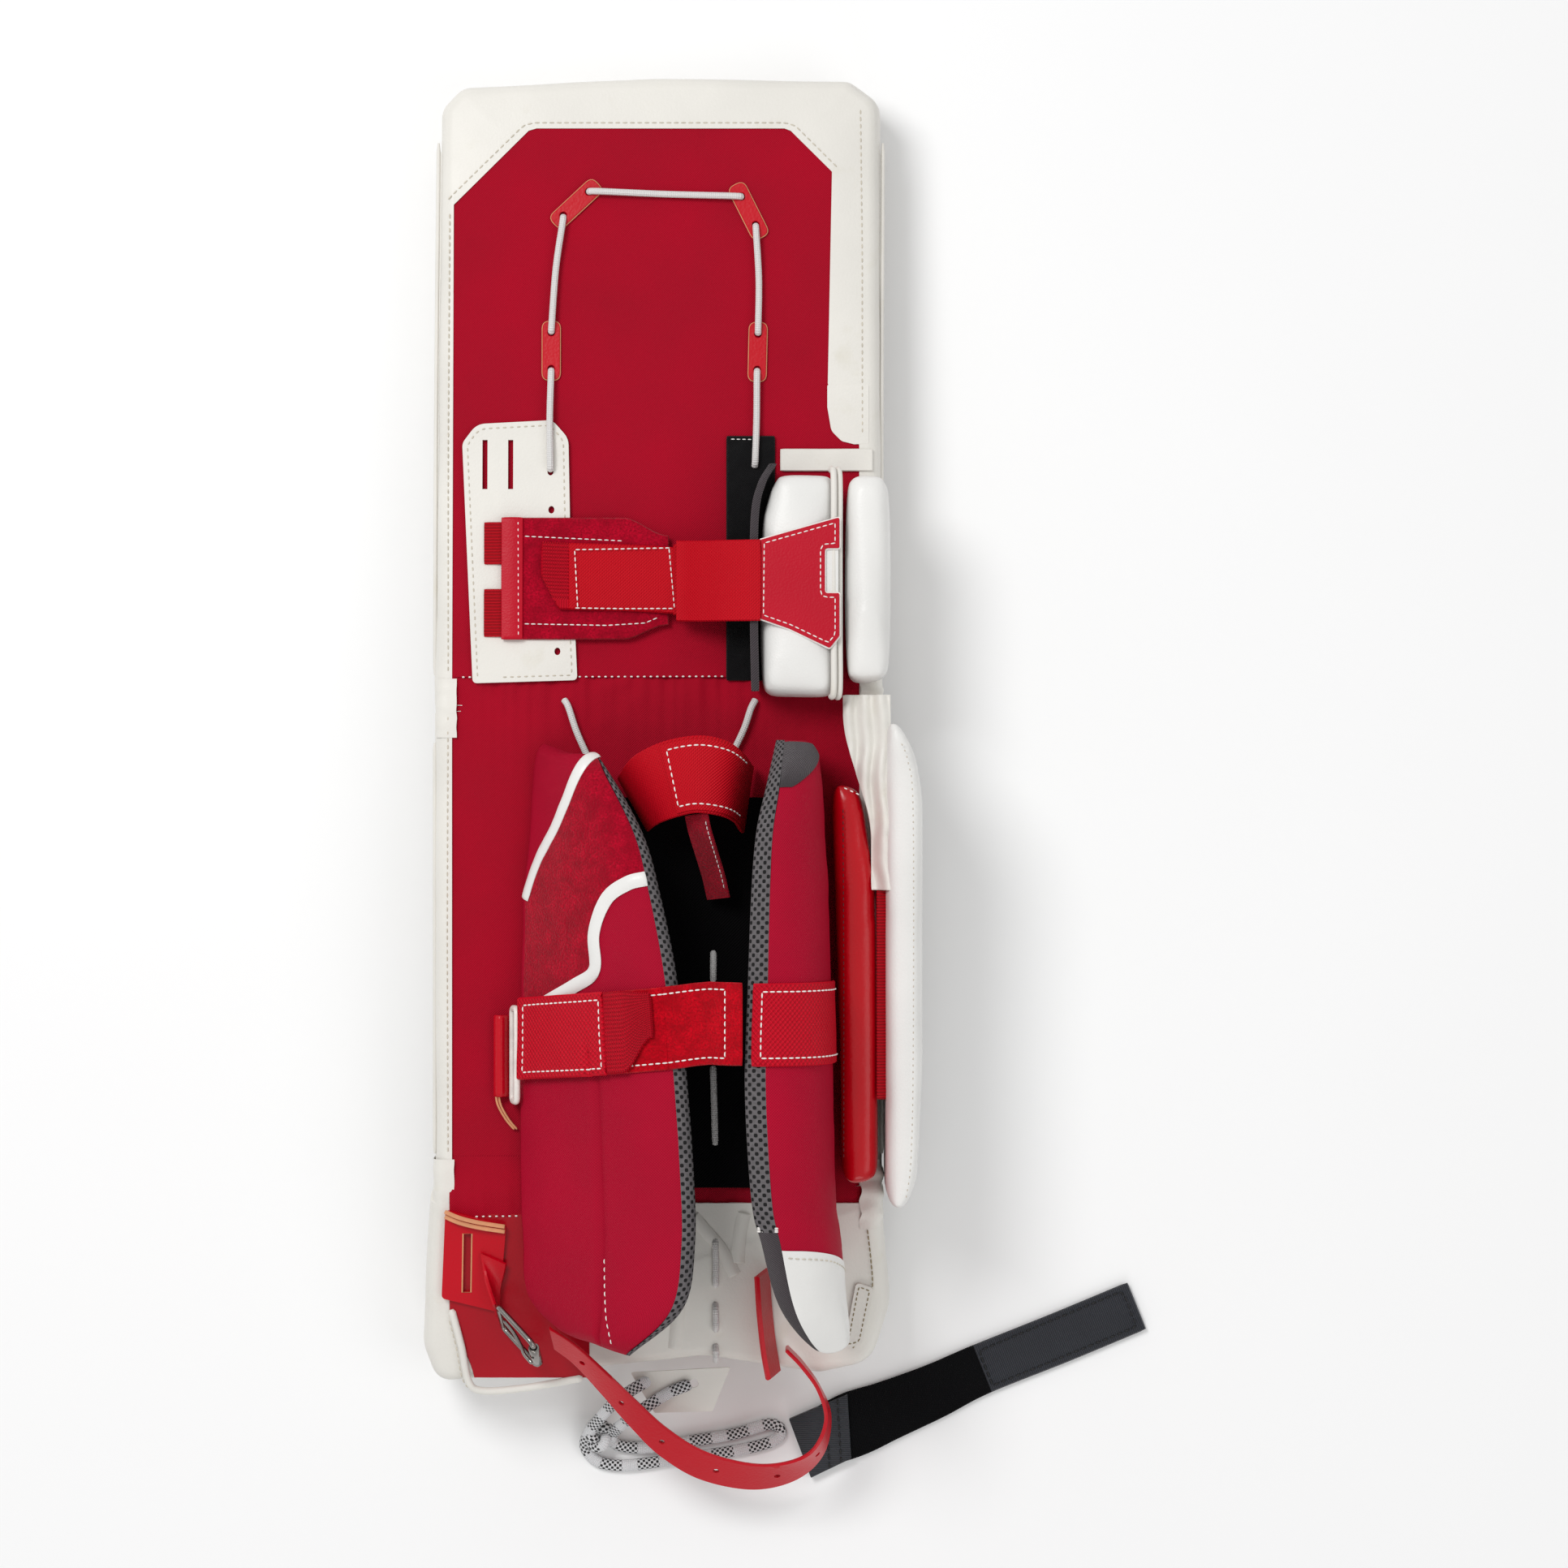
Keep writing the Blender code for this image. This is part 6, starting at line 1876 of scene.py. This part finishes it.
eyelet = circle(*EYELET, EYELET_RADIUS, EYELET_RADIUS, 20)
plate("toe_tab_leather", rounded(TOE_TAB, 3), TOE_TAB_Z, TOE_TAB_Z + 2.4, "boot",
      "white_leather", [eyelet], 0.6, sloped_tab, replaces=["toe_tab"])

LACE_FLOOR = 3.2
TOE_LACE_HALVES = (3.8, 1.7)
TOE_LACE = [
    (22, -409, 54.6), (8, -415, 52.5), (-9, -426, 49), (-21, -437, 28), (-29, -447, 10),
    (-26, -454, 4), (-8, -456, LACE_FLOOR), (20, -452, LACE_FLOOR), (50, -447, LACE_FLOOR),
    (71, -441, LACE_FLOOR), (78.5, -444.5, LACE_FLOOR), (75, -451, LACE_FLOOR),
    (57, -456.5, LACE_FLOOR), (27, -461.5, LACE_FLOOR), (0, -465, LACE_FLOOR),
    (-22, -467.5, LACE_FLOOR), (-38, -465, LACE_FLOOR), (-46, -456, 5), (-44, -446, 13),
    (-36, -434, 26), (-27, -423, 40), (-15, -413, 53), (-4, -406, 59),
]
lace_line = even(through(TOE_LACE, 400), 220)
lace_world = [PLACES["rest"] @ Vector(p) for p in lace_line]
toe_lace = tube("toe_lace_cord", lace_line, 3.0, "boot", "lace_flecked", sides=14,
                section="rest", flatten=TOE_LACE_HALVES, replaces=["toe_lace"])

KNOT_AT = np.array([-37.0, -447.0, 9.0])
knot_turn = np.linspace(0, FULL_TURN * 2, 90)
knot_line = np.stack([
    KNOT_AT[0] + (6.0 + 2.2 * np.cos(1.5 * knot_turn)) * np.cos(knot_turn),
    KNOT_AT[1] + (6.0 + 2.2 * np.cos(1.5 * knot_turn)) * np.sin(knot_turn),
    KNOT_AT[2] + 3.6 * np.sin(1.5 * knot_turn)], axis=1)
toe_knot = tube("toe_knot", knot_line, 3.0, "boot", "lace_flecked", sides=12, section="rest",
                flatten=(3.4, 2.6))


def floor_sheet(name, outline, low, high, finish, replaces):
    return plate(name, outline, low, high, "boot", finish, edge=0.5, section="rest",
                 replaces=replaces)


FOLD = [(84, -437.5), (98, -475), (124, -462.5), (121.5, -421.5)]
toe_fold = floor_sheet("toe_fold", FOLD, 1.0, 6.6, "hook_black", ["toe_strap_fold"])
fold_thread = stitches("toe_fold_stitches", [
    flat_run([(110, -469.5), (107.5, -426)], 6.9),
    flat_run([(117.5, -466), (115, -424)], 6.9),
], "boot", "thread_black", pitch=5.0, long=3.8, thick=0.6, section="rest")

# The strap's middle as (x, y, half its width): doubled elastic, then its hook cloth end
TOE_STRAP = [
    (95, -454, 16.5), (123.5, -441.7, 20.0), (148, -432, 18.2), (178, -419.5, 16.6),
    (206, -406.2, 15.4), (257, -385.8, 15.4), (306, -365.4, 15.4),
]
TOE_STRAP_Z = 3.0
HOOK_START = (207.0, -406.0)
strap_way = np.array([0.928, 0.373, 0.0])
strap_across = np.array([-0.373, 0.928, 0.0])
toe_path = through(TOE_STRAP, 90)
toe_rows = []
for x, y, half in toe_path:
    middle = np.array([x, y, TOE_STRAP_Z])
    toe_rows.append([middle + strap_across * half * side for side in np.linspace(1, -1, 15)])
toe_band = strap("toe_strap_band", np.array(toe_rows), "boot", "black_elastic", -1.2, 1.2,
                 section="rest", replaces=["toe_strap_elastic", "toe_strap_hook"])
toe_band.data.materials.append(FINISHES["hook_black"][0])
hook_start = PLACES["rest"] @ Vector((*HOOK_START, TOE_STRAP_Z))
for face in toe_band.data.polygons:
    if (face.center - hook_start).dot(Vector(strap_way)) > 0:
        face.material_index = 1
hook_box = [(214.5, -416.0), (306.5, -378.4), (297.5, -355.6), (205.5, -394)]
hook_thread = stitches("toe_hook_stitches", [
    flat_run(even([*hook_box, hook_box[0]], 120), 4.4),
], "boot", "thread_black", pitch=5.0, long=3.8, thick=0.6, section="rest")
# The length of the modelled route, to the nearest centimetre
LACE_LENGTH = round(float(lengths(lace_line)[-1]) * MM, 2)
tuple(lace_world[0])
toe_line = [PLACES["rest"] @ Vector((x, y, TOE_STRAP_Z)) for x, y, _ in toe_path]
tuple(toe_line[0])


# ---------------------------------------------------------------- what stays from the CAD model
CAD_FINISHES = {
    "stiffener": ["thigh_stiffener", "shin_stiffener"],
    "foam_block": ["thigh_core", "shin_core", "boot_core"],
}
for finish, names in CAD_FINISHES.items():
    for node_name in names:
        node = frame["nodes"][node_name]
        node.data.materials.clear()
        node.data.materials.append(FINISHES[finish][0])

floor_shader = Shader("floor", 0.9)
floor_shader.colour(floor_shader.mix(floor_shader.noise(300, 2), (0.92, 0.92, 0.92),
                                     (0.94, 0.94, 0.94)))
floor_mesh = bpy.data.meshes.new("floor")
FLOOR_HALF = 6.0
floor_mesh.from_pydata([(-FLOOR_HALF, -FLOOR_HALF, 0), (FLOOR_HALF, -FLOOR_HALF, 0),
                        (FLOOR_HALF, FLOOR_HALF, 0), (-FLOOR_HALF, FLOOR_HALF, 0)], [],
                       [(0, 1, 2, 3)])
floor_mesh.materials.append(floor_shader.material)
floor = bpy.data.objects.new("floor", floor_mesh)
bpy.context.scene.collection.objects.link(floor)
